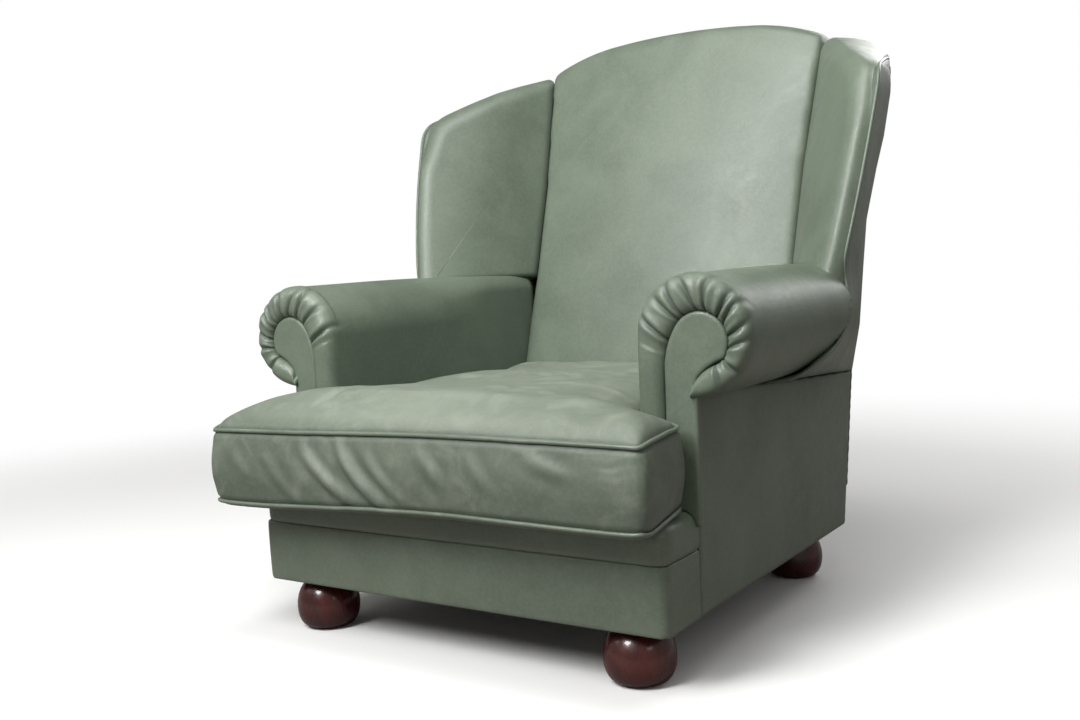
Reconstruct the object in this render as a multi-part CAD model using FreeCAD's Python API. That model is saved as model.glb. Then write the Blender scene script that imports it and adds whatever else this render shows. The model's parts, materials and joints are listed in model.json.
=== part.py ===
# Wingback armchair in pigmented leather: hardwood frame, webbing, upholstered pads,
# scroll arms with pleated fronts, splayed wings, a loose T shaped seat cushion and bun feet.
# X runs across the chair, Y from front to back, Z up. The origin is on the floor under the middle.
import FreeCAD, Part
import math
import os

V = FreeCAD.Vector

# Driving dimensions in millimetres
footHeight = 85
footRadius = 52
footX = 296
frontFootY = -353
rearFootY = 243

baseHalfWidth = 370
baseFrontY = -410
panelThickness = 6
railThickness = 28
railTop = 182
sideSeamY = -304

lipBottom = 184
seatDeckZ = 238

armInnerX = 288
rollX = 375
rollZ = 482
rollRadius = 87
armFrontY = -326
facingY = -318
facingBottomZ = 239.5
underRollX = 370.6

backSeamY = 310
backRake = 0.31
armTopZ = 569
backPadDepth = 44
backTopZ = 1050
backTopHalf = 313
shoulderZ = 997

cushionBottomZ = 238.6
cushionTopZ = 402
cushionFrontY = -506
cushionFrontHalf = 400
cushionEarRearHalf = 374
cushionEarRearY = -338
cushionBodyHalf = 277

# How far the dimensions' own zero lies in front of the chair's middle
middleY = 10.8

pipingRadius = 3
clearance = 0.5

backRailY = 282
cornerBlockLeg = 112
cornerBlockHeight = 42
boltRadius = 4
boltBottom = 38
boltLength = 82
boltSides = 12
footSides = 28
plateHalf = 20
plateThickness = 2.5

postTopZ = 975
armRailInnerX = 322
armRailOuterX = 388
armRailZ = 452
armRailThickness = 26
tackRailTop = 312

strapWidth = 50
strapThickness = 1.6

scrollHeadX = 385
scrollHeadZ = 474
scrollHeadRadius = 42
scrollLegInnerX = 331
scrollLegOuterX = 380
scrollNotchZ = 424
frontRounding = 26
pleatCount = 11
pleatFirst = -58
pleatLast = 196

noseThickness = 34
wingPadDepth = 36
wingNoseDepth = 46

zipZ = 304
zipHalf = 215
coverThickness = 2.2

# Worked out from the dimensions above
frameHalf = baseHalfWidth - panelThickness
railInnerX = frameHalf - railThickness
frontRailY = baseFrontY + panelThickness
frontRailRearY = frontRailY + railThickness
armBoardY = -306
armBoardRearY = armBoardY + railThickness
armBottomZ = seatDeckZ + 1
armWallX = armInnerX + 30


# Simple shapes
def box(x0, x1, y0, y1, z0, z1):
    return Part.makeBox(x1 - x0, y1 - y0, z1 - z0, V(x0, y0, z0))


def closedWire(items):
    # Points joined by lines. A one item tuple between two points makes that stretch an arc through it.
    edges = []
    last = items[0]
    via = None
    for item in items[1:] + [items[0]]:
        if isinstance(item, tuple):
            via = item[0]
            continue
        if via is None:
            edges.append(Part.LineSegment(last, item).toShape())
        else:
            edges.append(Part.Arc(last, via, item).toShape())
        last = item
        via = None
    return Part.Wire(edges)


def prism(items, along):
    return Part.Face(closedWire(items)).extrude(along)


def prismX(points, x0, x1):
    return prism([V(x0, y, z) for y, z in points], V(x1 - x0, 0, 0))


def prismY(points, y0, y1):
    return prism([V(x, y0, z) for x, z in points], V(0, y1 - y0, 0))


def prismZ(points, z0, z1):
    return prism([V(x, y, z0) for x, y in points], V(0, 0, z1 - z0))


def face(points):
    return Part.Face(Part.makePolygon(points + points[:1]))


def skinned(loops):
    # A solid with flat facets between successive loops of points, closed by its first and its last loop
    faces = [face(loops[0]), face(loops[-1])]
    for lower, upper in zip(loops, loops[1:]):
        for index in range(len(lower)):
            a, b = lower[index - 1], lower[index]
            c, d = upper[index], upper[index - 1]
            level = (b - a).cross(d - a).normalize()
            if abs(level.dot(c - a)) < 0.000001:
                faces.append(face([a, b, c, d]))
            elif (c - a).Length < (d - b).Length:
                faces += [face([a, b, c]), face([a, c, d])]
            else:
                faces += [face([a, b, d]), face([b, c, d])]
    shell = Part.makeShell(faces)
    shell.sewShape()
    solid = Part.Solid(shell)
    if solid.Volume < 0:
        solid.reverse()
    return solid


def turned(profile, sides, x=0, y=0):
    # A turned piece with flat sides, from (radius, height) pairs
    loops = []
    for radius, z in profile:
        loops.append([V(x + radius * math.cos(2 * math.pi * step / sides),
                        y + radius * math.sin(2 * math.pi * step / sides), z) for step in range(sides)])
    return skinned(loops)


def cord(path, radius, sides=6):
    # A cord with flat sides along a chain of points, turned as little as possible from point to point
    loops = []
    up = V(0, 1, 0)
    for index, point in enumerate(path):
        along = (path[min(index + 1, len(path) - 1)] - path[max(index - 1, 0)]).normalize()
        up = (up - along * up.dot(along)).normalize()
        across = along.cross(up)
        turns = [2 * math.pi * step / sides for step in range(sides)]
        loops.append([point + (up * math.cos(turn) + across * math.sin(turn)) * radius for turn in turns])
    return skinned(loops)


def boltBore(x, y, z0, z1):
    return turned([(boltRadius + clearance, z0), (boltRadius + clearance, z1)], boltSides, x, y)


def mirrored(shape):
    return shape.mirror(V(0, 0, 0), V(1, 0, 0))


def bothSides(shape):
    return [shape, mirrored(shape)]


def curveThrough(a, b, c):
    # A parabola through three (position, value) pairs
    slopeAB = (b[1] - a[1]) / (b[0] - a[0])
    slopeBC = (c[1] - b[1]) / (c[0] - b[0])
    bend = (slopeBC - slopeAB) / (c[0] - a[0])

    def value(z):
        return a[1] + slopeAB * (z - a[0]) + bend * (z - a[0]) * (z - b[0])

    return value


def stepsThrough(pairs):
    # Straight steps between (position, value) pairs
    def value(z):
        for (z0, v0), (z1, v1) in zip(pairs, pairs[1:]):
            if z <= z1:
                return v0 + (v1 - v0) * (z - z0) / (z1 - z0)
        return pairs[-1][1]

    return value


# Lines that several pieces follow, each as a function of height
rearY = curveThrough((84, 326), (575, 421), (1000, 521))
backHalf = stepsThrough([(232, 287.5), (480, 287.5), (569, 283), (750, 287), (930, 299), (1070, 308)])
rearX = stepsThrough([(360, 371), (450, 382), (645, 386), (740, 400), (800, 411), (880, 419), (1100, 419)])
wingEdgeX = curveThrough((569, 447), (721, 470), (873, 484))
wingEdgeY = curveThrough((569, 112), (721, 151), (873, 201))
rollEndX = stepsThrough([(360, 372), (385, 376), (397, 429), (421, 451), (438, 459), (467, 461),
                         (498, 456), (540, 446), (569, 447)])
rollEndY = stepsThrough([(360, -58), (385, -58), (397, -53), (421, -18), (438, 33), (467, 81),
                         (498, 114), (540, 124), (569, 112)])
rollEndLevels = [360, 385, 397, 421, 438, 467, 498, 540]
wingLevels = [armTopZ, 670, 771, 873, 940, 1010]


def seamY(z):
    return backSeamY + backRake * (z - armTopZ)


def postFrontY(z):
    return seamY(max(z, 240)) + backPadDepth + 2


def outsideFront(z):
    if z < armTopZ:
        return V(rollEndX(z), rollEndY(z), z)
    return V(wingEdgeX(z), wingEdgeY(z), z)


def outsideRear(z):
    return V(rearX(z), rearY(z) - panelThickness - clearance, z)


# The wing's top slopes down along the wing, level across it, first gently and then more steeply
wingTopStart = V(310, 450, 996)
wingTopEnd = V(451, 219, 905)
rearSlope = 0.26
frontSlope = 0.41
wingRun = V(wingTopEnd.x - wingTopStart.x, wingTopEnd.y - wingTopStart.y, 0)
wingSlope = (wingTopStart.z - wingTopEnd.z) / wingRun.Length
wingAlong = V(wingRun).normalize()
wingAcross = V(-wingAlong.y, wingAlong.x, 0)


def slab(point, along, up, reach=500):
    # A thick block whose lower face passes through point, along one direction and square to up
    across = up.cross(along).normalize()
    a = point - along * reach - across * reach
    b = point + along * reach - across * reach
    c = point + along * reach + across * reach
    d = point - along * reach + across * reach
    return prism([a, b, c, d], V(up).normalize() * reach)


def aboveWingTop(drop):
    # Everything above the wing's top: the sloping plane, the level shoulder at the back,
    # and facets that round its outer edge and its front corner
    lift = V(0, 0, -drop)
    cutters = [box(200, 600, 100, 700, shoulderZ - drop, 1400)]
    for point, fall in ((wingTopStart, rearSlope), (wingTopEnd, frontSlope)):
        slope = V(wingAlong.x, wingAlong.y, -fall).normalize()
        cutters.append(slab(point + lift, slope, wingAcross.cross(slope) * -1))
    outerEdge = (V(419, 495, 0) - V(485, 205, 0)).normalize()
    outerSlope = V(outerEdge.x, outerEdge.y, 0.186).normalize()
    level = V(-outerEdge.y, outerEdge.x, 0)
    for tilt, point in ((62, V(485, 205, 880)), (34, V(479, 205, 891))):
        turn = math.radians(tilt)
        up = V(0, 0, math.cos(turn)) - level * math.sin(turn)
        up = up - outerSlope * up.dot(outerSlope)
        cutters.append(slab(point + lift, outerSlope, up))
    for tilt, ahead, down in ((72, 37, 63), (46, 25, 25)):
        turn = math.radians(tilt)
        up = wingAlong * math.sin(turn) + V(0, 0, math.cos(turn))
        point = wingTopEnd + wingAlong * ahead - V(0, 0, down)
        cutters.append(slab(point + lift, wingAcross, up))
    return cutters


pieces = {}


def keep(name, shapes):
    pieces[name] = shapes if isinstance(shapes, list) else [shapes]


def keepPair(name, shape):
    keep(name + "_right", shape)
    keep(name + "_left", mirrored(shape))


# Seat frame
def seatFrame():
    keep("front_seat_rail", box(-frameHalf, frameHalf, frontRailY, frontRailRearY, footHeight, railTop))
    keepPair("side_seat_rail",
             box(railInnerX, frameHalf, frontRailRearY, postFrontY(0), footHeight, railTop))
    keep("back_seat_rail", box(-railInnerX, railInnerX, backRailY, backRailY + railThickness,
                               footHeight, railTop))
    blocks = []
    for cornerY, toward in ((frontRailRearY, 1), (backRailY, -1)):
        block = prismZ([(railInnerX, cornerY), (railInnerX - cornerBlockLeg, cornerY),
                        (railInnerX, cornerY + toward * cornerBlockLeg)],
                       footHeight, footHeight + cornerBlockHeight)
        footY = frontFootY if toward > 0 else rearFootY
        block = block.cut(plateAt(footX, footY, clearance))
        block = block.cut(boltBore(footX, footY, 0, 200))
        blocks += bothSides(block)
    keep("corner_blocks", blocks)


def plateAt(x, y, gap):
    half = plateHalf + gap
    return box(x - half, x + half, y - half, y + half, footHeight - gap, footHeight + plateThickness + gap)


# Bun feet, each on a hanger bolt that screws into a plate under the corner block
def feet():
    places = {"front": frontFootY, "rear": rearFootY}
    plates = []
    bolts = []
    profile = [(30, 0), (41, 5), (48.5, 15), (footRadius, 30), (footRadius, 45), (48, 62), (41, 74), (34, 80),
               (34, footHeight)]
    for place, y in places.items():
        foot = turned(profile, footSides, footX, y)
        keepPair(place + "_foot", foot.cut(boltBore(footX, y, boltBottom - clearance, 100)))
        plates += bothSides(plateAt(footX, y, 0).cut(boltBore(footX, y, 0, 200)))
        bolt = turned([(boltRadius, boltBottom), (boltRadius, boltBottom + boltLength)], boltSides, footX, y)
        bolts += bothSides(bolt)
    keep("foot_plates", plates)
    keep("foot_bolts", bolts)


# Posts and rails of the arms, back and wings
def backPost():
    levels = [footHeight, 240, 400, 700, postTopZ]
    rear = [(rearY(z) - panelThickness - 2, z) for z in levels]
    front = [(postFrontY(z), z) for z in (postTopZ, 240, footHeight)]
    return prismX(rear + front, railInnerX, frameHalf)


def facingOutline(inset, y):
    # The scroll: a leg that swells into a round head turned outwards, with a notch under the head
    legInner = scrollLegInnerX + inset
    legOuter = scrollLegOuterX - inset
    radius = scrollHeadRadius - inset
    centre = V(scrollHeadX, y, scrollHeadZ)

    def around(degrees):
        turn = math.radians(degrees)
        return centre + V(radius * math.cos(turn), 0, radius * math.sin(turn))

    notch = [V(legOuter, y, scrollNotchZ + inset), (V(397 - inset, y, scrollNotchZ + 16 + inset),)]
    head = [around(-32), (around(26),), around(80), (around(112),), around(146)]
    shoulder = [(V(legInner + 3.5, y, 463),), V(legInner, y, 428)]
    return [V(legInner, y, facingBottomZ), V(legOuter, y, facingBottomZ)] + notch + head + shoulder


def armBoard():
    # The front arm stump stands on the side rail behind the facing
    head = prism(facingOutline(3, armBoardY), V(0, railThickness, 0))
    leg = box(334, frameHalf, armBoardY, armBoardRearY, railTop, 400)
    cutOff = box(frameHalf, 400, -400, 0, 200, 425)
    return head.cut(cutOff).fuse(leg).removeSplitter()


def slantedBar(a, b, across, up):
    # A straight timber from a to b with a level rectangular end at each
    along = V(b.x - a.x, b.y - a.y, 0).normalize()
    side = V(-along.y, along.x, 0) * (across / 2)
    height = V(0, 0, up / 2)
    ends = []
    for p in (a, b):
        ends.append(Part.makePolygon([p - side - height, p + side - height, p + side + height,
                                      p - side + height, p - side - height]))
    return Part.makeLoft(ends, True, True)


def wingTopZ(x, y):
    run = (V(x, y, 0) - V(wingTopStart.x, wingTopStart.y, 0)).dot(wingAlong)
    return wingTopStart.z - wingSlope * run


def wingTimbers():
    railDeep = 32
    railWide = 26
    frontX, frontY = 446, 236
    rearEndX, rearEndY = 348, 462
    under = 17 + railDeep / 2
    topRail = slantedBar(V(frontX, frontY, wingTopZ(frontX, frontY) - under),
                         V(rearEndX, rearEndY, wingTopZ(rearEndX, rearEndY) - under), railWide, railDeep)
    footX0, footY0 = 376, 232
    baseZ = armRailZ + armRailThickness
    turn = wingAlong * 19
    side = wingAcross * 11
    ends = []
    for x, y, z in ((footX0, footY0, baseZ), (frontX, frontY, 900)):
        p = V(x, y, z)
        ends.append(Part.makePolygon([p - turn - side, p + turn - side, p + turn + side,
                                      p - turn + side, p - turn - side]))
    post = Part.makeLoft(ends, True, True).cut(topRail).cut(aboveWingTop(under))
    post = max(post.Solids, key=lambda solid: solid.Volume)
    return post, topRail


def upperFrame():
    post = backPost()
    wingPost, wingTop = wingTimbers()
    wingTop = wingTop.cut(post)
    wingTop = max(wingTop.Solids, key=lambda solid: solid.Volume)
    board = armBoard()
    topRail = box(armRailInnerX, armRailOuterX, armBoardRearY, 326, armRailZ, armRailZ + armRailThickness)
    topRail = max(topRail.cut(post).Solids, key=lambda solid: solid.Volume)
    tackRail = box(frameHalf - 24, frameHalf, armBoardRearY, 290, 250, 292)
    tackRail = max(tackRail.cut(post).Solids, key=lambda solid: solid.Volume)
    keepPair("back_post", post)
    keepPair("arm_post", board)
    keepPair("arm_top_rail", topRail)
    keepPair("arm_tack_rail", tackRail)
    keepPair("wing_post", wingPost)
    keepPair("wing_top_rail", wingTop)
    crownDrop = 24
    topRailY = 470
    crown = prism([V(-railInnerX, topRailY, 925), V(railInnerX, topRailY, 925),
                   V(railInnerX, topRailY, 965), (V(0, topRailY, backTopZ - crownDrop),),
                   V(-railInnerX, topRailY, 965)], V(0, 26, 0))
    keep("back_top_rail", crown)
    lowerY = postFrontY(tackRailTop) + 1
    keep("back_tack_rail", box(-railInnerX, railInnerX, lowerY, lowerY + 24, tackRailTop - 50, tackRailTop))
    return post, board, topRail, wingPost, wingTop, crown


# Webbing: straps woven over and under each other, tacked to the top of the rails
def wovenStrap(stations, start, end, lap, phase, level):
    # A strap's side profile: flat where it laps on a rail, then up or down at each strap that it crosses
    lower = [(start, level), (start + lap, level)]
    for index, station in enumerate(stations):
        lift = (1 if (index + phase) % 2 else -1) * (strapThickness * 0.55 + 0.3)
        for edge in (-strapWidth / 2 - 2, strapWidth / 2 + 2):
            lower.append((station + edge, level + lift))
    lower += [(end - lap, level), (end, level)]
    return lower + [(a, z + strapThickness) for a, z in reversed(lower)]


def seatWebbing():
    across = [-225, -135, -45, 45, 135, 225]
    along = [-249, -162, -75, 12, 99, 186]
    lap = railThickness - 3
    straps = []
    for index, x in enumerate(across):
        profile = wovenStrap(along, frontRailY + 4, backRailY + railThickness - 4, lap, index, railTop)
        straps.append(prismX(profile, x - strapWidth / 2, x + strapWidth / 2))
    for index, y in enumerate(along):
        profile = wovenStrap(across, -frameHalf + 4, frameHalf - 4, lap, index + 1, railTop)
        straps.append(prismY(profile, y - strapWidth / 2, y + strapWidth / 2))
    keep("seat_webbing", straps)


def backWebbing():
    straps = []
    for z in (400, 520, 640, 760, 880):
        ends = [(postFrontY(h) - strapThickness, h) for h in (z - strapWidth / 2, z + strapWidth / 2)]
        profile = ends + [(y + strapThickness, h) for y, h in reversed(ends)]
        straps.append(prismX(profile, -frameHalf + 6, frameHalf - 6))
    keep("back_webbing", straps)


# Seat platform under the loose cushion, with the padded lip and the border along the front
def seatPlatform():
    deckHalf = 300
    deckRearY = seamY(230) - 6
    padBottom = railTop + 2 * strapThickness + 1.4
    keep("deck_pad", box(-deckHalf, deckHalf, sideSeamY + 2, deckRearY, padBottom, seatDeckZ - 2))
    keep("deck_cloth", box(-deckHalf, deckHalf, sideSeamY + 2, deckRearY, seatDeckZ - 2, seatDeckZ))
    lipFrontY = baseFrontY - 4
    lipHalf = baseHalfWidth + 3
    lip = box(-lipHalf, lipHalf, lipFrontY, sideSeamY - 2.5, lipBottom + 0.5, seatDeckZ)

    def rounded(edge):
        # The upper edges at the front and the sides, and the two upright front corners
        middle = edge.CenterOfMass
        atSide = abs(abs(middle.x) - lipHalf) < 1
        atFront = abs(middle.y - lipFrontY) < 1
        atTop = abs(middle.z - seatDeckZ) < 1
        return atTop and (atSide or atFront) or atSide and atFront

    keep("front_lip", lip.makeFillet(22, [edge for edge in lip.Edges if rounded(edge)]))

    corner = 14
    turn = corner * (1 - math.sqrt(0.5))
    half = baseHalfWidth
    front = baseFrontY
    z0 = footHeight - 1
    outline = [V(half, sideSeamY, z0), V(half, front + corner, z0),
               (V(half - turn, front + turn, z0),), V(half - corner, front, z0),
               V(corner - half, front, z0), (V(turn - half, front + turn, z0),),
               V(-half, front + corner, z0), V(-half, sideSeamY, z0),
               V(-frameHalf, sideSeamY, z0), V(-frameHalf, frontRailY, z0),
               V(frameHalf, frontRailY, z0), V(frameHalf, sideSeamY, z0)]
    keep("front_border", prism(outline, V(0, 0, railTop - z0)))

    cloth = box(-frameHalf + 2, frameHalf - 2, frontRailY + 2, 318, footHeight - 1, footHeight)
    for y in (frontFootY, rearFootY):
        for x in (-footX, footX):
            cloth = cloth.cut(box(x - 36, x + 36, y - 36, y + 36, footHeight - 5, footHeight + 5))
    keep("dust_cloth", cloth)


# Scroll arm: inner arm pad and roll in one, its front gathered in pleats round the facing
def pleatCutter(degrees):
    # A groove that is deep and wide at the facing's edge and dies out towards the edge of the roll
    turn = math.radians(degrees)
    out = V(math.cos(turn), 0, math.sin(turn))
    side = V(-out.z, 0, out.x)
    centre = V(scrollHeadX, 0, scrollHeadZ)
    ends = []
    for reach, width, depth in ((scrollHeadRadius - 2, 4.2, 9), (80, 1.2, 1.5)):
        middle = centre + out * reach + V(0, armFrontY, 0)
        ends.append(Part.makePolygon([middle - side * width - V(0, 2, 0), middle + side * width - V(0, 2, 0),
                                      middle + V(0, depth, 0), middle - side * width - V(0, 2, 0)]))
    return Part.makeLoft(ends, True, True)


def armOutline(inset, y):
    # The pad seen from the front: inner wall, roll, and the hollow that the timbers fill
    radius = rollRadius - inset
    diagonal = radius * math.sqrt(0.5)
    under = math.sqrt(radius ** 2 - (rollX - underRollX) ** 2)
    return closedWire([V(rollX - radius, y, armBottomZ), V(rollX - radius, y, rollZ),
                       (V(rollX - diagonal, y, rollZ + diagonal),), V(rollX, y, rollZ + radius),
                       (V(rollX + diagonal, y, rollZ + diagonal),), V(rollX + radius, y, rollZ),
                       (V(rollX + diagonal, y, rollZ - diagonal),), V(underRollX, y, rollZ - under),
                       V(underRollX, y, armRailZ), V(armWallX, y, armRailZ), V(armWallX, y, armBottomZ)])


def armPad(post, board, topRail, wingPost):
    y = armFrontY
    sections = []
    for degrees in (0, 30, 60, 90):
        turn = math.radians(degrees)
        inset = frontRounding * (1 - math.sin(turn))
        sections.append(armOutline(inset, y + frontRounding * (1 - math.cos(turn))))
    sections.append(armOutline(0, 300))
    pad = Part.makeLoft(sections, True, True)
    for index in range(pleatCount):
        degrees = pleatFirst + (pleatLast - pleatFirst) * index / (pleatCount - 1)
        pad = pad.cut(pleatCutter(degrees))
    pocket = prism(facingOutline(-clearance, y - 20), V(0, armBoardY - y + 20, 0))
    wallGap = box(armWallX - 1, underRollX, y - 1, armBoardY, armBottomZ - 1, 400)
    behind = [(seamY(z) + backPadDepth - 2, z) for z in (200, 410)]
    behindBack = prismX(behind + [(600, 410), (600, 200)], 280, 330)
    pad = pad.cut(pocket).cut(wallGap).cut(behindBack)
    for timber in (board, topRail, wingPost):
        pad = pad.cut(timber)

    # The outside wing panel laps over the roll's rear end, so the roll gives way to it there
    sections = []
    for z in rollEndLevels + [armTopZ, 580]:
        a = outsideFront(z) - V(panelThickness + clearance, clearance, 0)
        b = outsideRear(z) - V(panelThickness + clearance, 0, 0)
        sections.append([a, b, V(600, b.y, z), V(600, a.y, z)])
    pad = pad.cut(skinned(sections)).cut(wingCord(clearance))
    return max(pad.Solids, key=lambda solid: solid.Volume)


def arms(post, board, topRail, wingPost):
    keepPair("arm_pad", armPad(post, board, topRail, wingPost))
    facing = prism(facingOutline(0, facingY), V(0, armBoardY - facingY, 0))
    facing = facing.makeChamfer(2, [e for e in facing.Edges if abs(e.CenterOfMass.y - facingY) < 0.1])
    keepPair("arm_facing", facing)
    bottom = footHeight - 1
    rear = [(rearY(z) - panelThickness - clearance, z) for z in (bottom, 180, 275, 365)]
    side = rear + [(108, 380), (-166, 398), (sideSeamY + 0.5, 400), (sideSeamY + 0.5, bottom)]
    keepPair("outside_arm", prismX(side, frameHalf, baseHalfWidth))


# Wing: a wedge between the splayed inner face and the outside panel
def wingCord(gap):
    # Piping along the outside wing's front edge, from under the roll up and over the top to the back
    path = [V(375, -58, 391), V(402, -57, 392.5)]
    levels = (398, 421, 438, 467, 498, 540, armTopZ, 645, 721, 797, 840)
    path += [outsideFront(z) - V(2, 0, 0) for z in levels]
    path += [V(482, 197, 866), V(478, 213, 889), V(471, 246, 902), V(454, 316, 916), V(435, 396, 931),
             V(419.5, 471, 944)]
    return cord(path, pipingRadius + gap)


def wingFrame2d(z):
    # Inner seam, inner end of the nose, outer edge, direction along the wing and across it
    seam = V(backHalf(z) + 1, seamY(z), z)
    edge = V(wingEdgeX(z), wingEdgeY(z), z)
    along = (edge - seam).normalize()
    across = V(-along.y, along.x, 0)
    return seam, edge - across * noseThickness, edge, along, across


def wingEnvelope(levels):
    sections = []
    for z in levels:
        seam, nose, edge, along, across = wingFrame2d(z)
        bulge = seam + (nose - seam) * 0.5 - across * 15
        tip = nose + (edge - nose) * 0.5 + along * 5
        rear = outsideRear(z) - V(0, 1, 0)
        sections.append(closedWire([seam, (bulge,), nose, (tip,), edge - V(1, 0, 0), rear,
                                    V(seam.x, rear.y, z)]))
    return Part.makeLoft(sections, True, True)


def wings(post, wingPost, wingTop, crown):
    outside = []
    lapped = []
    for z in rollEndLevels + wingLevels:
        a = outsideFront(z)
        b = outsideRear(z)
        inward = V(panelThickness, 0, 0)
        more = V(clearance, 0, 0)
        outside.append([a, b, b - inward, a - inward])
        ahead = (b - a).normalize() * 3
        lapped.append([a + more - ahead, b + more + ahead,
                       b - inward - more + ahead, a - inward - more - ahead])
    panel = skinned(outside).cut(aboveWingTop(3))
    armTopLine = [(-400, 414), (-166, 398.6), (108, 380.6), (374, 365.6), (500, 358)]
    below = prismX([(-400, 300)] + armTopLine + [(500, 300)], 300, 600)
    cordRoom = wingCord(clearance)
    panel = panel.cut(below).cut(cordRoom)
    keepPair("outside_wing", max(panel.Solids, key=lambda solid: solid.Volume))

    body = wingEnvelope([450, 480] + wingLevels).cut(aboveWingTop(0))
    cavity = []
    for z in (430, 569, 721, 873, 1010):
        seam, nose, edge, along, across = wingFrame2d(z)
        a = seam - along * 200 + across * wingPadDepth
        b = edge - across * (noseThickness - wingPadDepth) - along * wingNoseDepth
        far = across * 300
        cavity.append([a, b, b + far, a + far])
    hollow = skinned(cavity).cut(aboveWingTop(30))
    pad = body.cut(hollow).cut(skinned(lapped)).cut(cordRoom)
    roll = Part.makeCylinder(rollRadius + clearance, 301 - armFrontY,
                             V(rollX, armFrontY, rollZ), V(0, 1, 0))
    pad = pad.cut(roll).cut(box(250, 500, -100, 301, 400, rollZ))
    for timber in (post, wingPost, wingTop, crown):
        pad = pad.cut(timber)
    pad = max(pad.Solids, key=lambda solid: solid.Volume)
    keepPair("inside_wing", pad)
    keepPair("wing_piping", wingCord(0))


# Back: the padded inside back rolls over the top, the outside back is a flat panel
def crownOutline(y, drop):
    # The back's outline seen from the front, from the top of the arms up
    places = ((backTopHalf, shoulderZ), (238, 1026), (145, 1043))
    edge, shoulder, middle = [V(x, y, z - drop) for x, z in places]
    left = [V(-p.x, p.y, p.z) for p in (middle, shoulder, edge)]
    return [V(-backTopHalf, y, 150), V(backTopHalf, y, 150), edge, (shoulder,), middle,
            (V(0, y, backTopZ - drop),), left[0], (left[1],), left[2]]


def backs(crown, post):
    bulges = {232: 2, 320: 8, 480: 23, armTopZ: 30, 750: 34, 840: 30, 930: 24, 1070: 12}
    sections = []
    for z, bulge in bulges.items():
        half = backHalf(z)
        front = seamY(z)
        rear = rearY(z) - panelThickness - 1
        sections.append(closedWire([V(-half, rear, z), V(-half, front, z), (V(0, front - bulge, z),),
                                    V(half, front, z), V(half, rear, z)]))
    pad = Part.makeLoft(sections, True, True)
    # The top rolls over: its outline drops towards the front and, less, towards the rear
    drops = [(150, 40), (428, 40), (433, 20), (448, 5), (468, 0), (496, 0), (506, 4), (512, 14), (560, 70)]
    pad = pad.common(Part.makeLoft([closedWire(crownOutline(y, drop)) for y, drop in drops], True, True))
    hollow = prismX([(seamY(150) + backPadDepth, 150), (seamY(915) + backPadDepth, 915), (700, 915),
                     (700, 150)], -330, 330)
    pad = pad.cut(hollow).cut(crown).cut(post).cut(mirrored(post))
    keep("inside_back", max(pad.Solids, key=lambda solid: solid.Volume))

    levels = (footHeight - 1, 330, 575, 800, 1060)
    outer = [V(-500, rearY(z), z) for z in levels]
    inner = [V(-500, rearY(z) - panelThickness, z) for z in levels]
    side = [outer[0], (outer[1],), outer[2], (outer[3],), outer[4], inner[4], (inner[3],), inner[2],
            (inner[1],), inner[0]]
    sheet = prism(side, V(1000, 0, 0))
    right = [V(rearX(z), 200, z) for z in (380, 450, 645, 740, 800, 880, 925)]
    right += [(V(407, 200, 960),), V(384, 200, 983), (V(364, 200, 990),)]
    right.append(V(backTopHalf + 14, 200, shoulderZ - 6))
    left = []
    for item in reversed(right):
        if isinstance(item, tuple):
            left.append((V(-item[0].x, 200, item[0].z),))
        else:
            left.append(V(-item.x, 200, item.z))
    bottom = footHeight - 1
    outline = [V(-baseHalfWidth, 200, bottom), V(baseHalfWidth, 200, bottom)] + right
    outline += [(V(0, 200, backTopZ - 12),)] + left
    keep("outside_back", sheet.common(prism(outline, V(0, 500, 0))))


# Loose T cushion: boxed cover with crowned top, foam core, piping, zip and its slider
def cushionCorners(inset, rear, z):
    right = [V(cushionFrontHalf - inset, cushionFrontY + inset, z),
             V(cushionEarRearHalf - inset, cushionEarRearY - inset, z),
             V(cushionBodyHalf - inset, cushionEarRearY - inset, z),
             V(cushionBodyHalf - inset, rear - inset, z)]
    return right + [V(-p.x, p.y, z) for p in reversed(right)]


def cushionOutline(z, inset, rear, rounding):
    # The T shape as a loop of points, its corners rounded and its long sides drawn in a little
    pull = 5
    corners = cushionCorners(inset, rear, z)
    count = len(corners)
    points = []
    for index, corner in enumerate(corners):
        before = corners[index - 1]
        after = corners[(index + 1) % count]
        toBefore = (before - corner).normalize()
        toAfter = (after - corner).normalize()
        start = corner + toBefore * rounding
        end = corner + toAfter * rounding
        middle = (start + end) * 0.5
        middle = middle + (corner - middle) * (math.sqrt(2) - 1) * 0.98
        points += [start, middle, end]
        # The long sides bow inwards; the rear side, where the zip is, stays straight
        side = after - corner
        isRear = corner.y > 0 and after.y > 0
        if side.Length > 300 and not isRear:
            inward = V(-side.y, side.x, 0).normalize() * pull
            points.append((corner + after) * 0.5 + inward)
    return points


# Height, inset, rear edge and corner radius of the cushion from its bottom to its crown
cushionLevels = [
    (cushionBottomZ, 24, 186, 14),
    (cushionBottomZ + 6, 5, 190, 18),
    (zipZ - 14, -3, 199.5, 20),
    (zipZ + 14, -3, 199.5, 20),
    (366, 5, 214, 18),
    (388, 22, 214, 14),
    (cushionTopZ, 66, 214, 8),
]


def cushionBody(shrink):
    sections = []
    for index, (z, inset, rear, rounding) in enumerate(cushionLevels):
        lift = shrink if index < 2 else (-shrink if index > 3 else 0)
        sections.append(cushionOutline(z + lift, inset + shrink, rear, rounding))
    return skinned(sections)


def foamCore():
    # Foam cut square round the T, its top and bottom edges bevelled by the cover's pull
    levels = [(cushionBottomZ + 4, 28, 184), (cushionBottomZ + 16, 15, 190), (360, 15, 196),
              (cushionTopZ - 6, 76, 196)]
    return skinned([cushionCorners(inset, rear, z) for z, inset, rear in levels])


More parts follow.
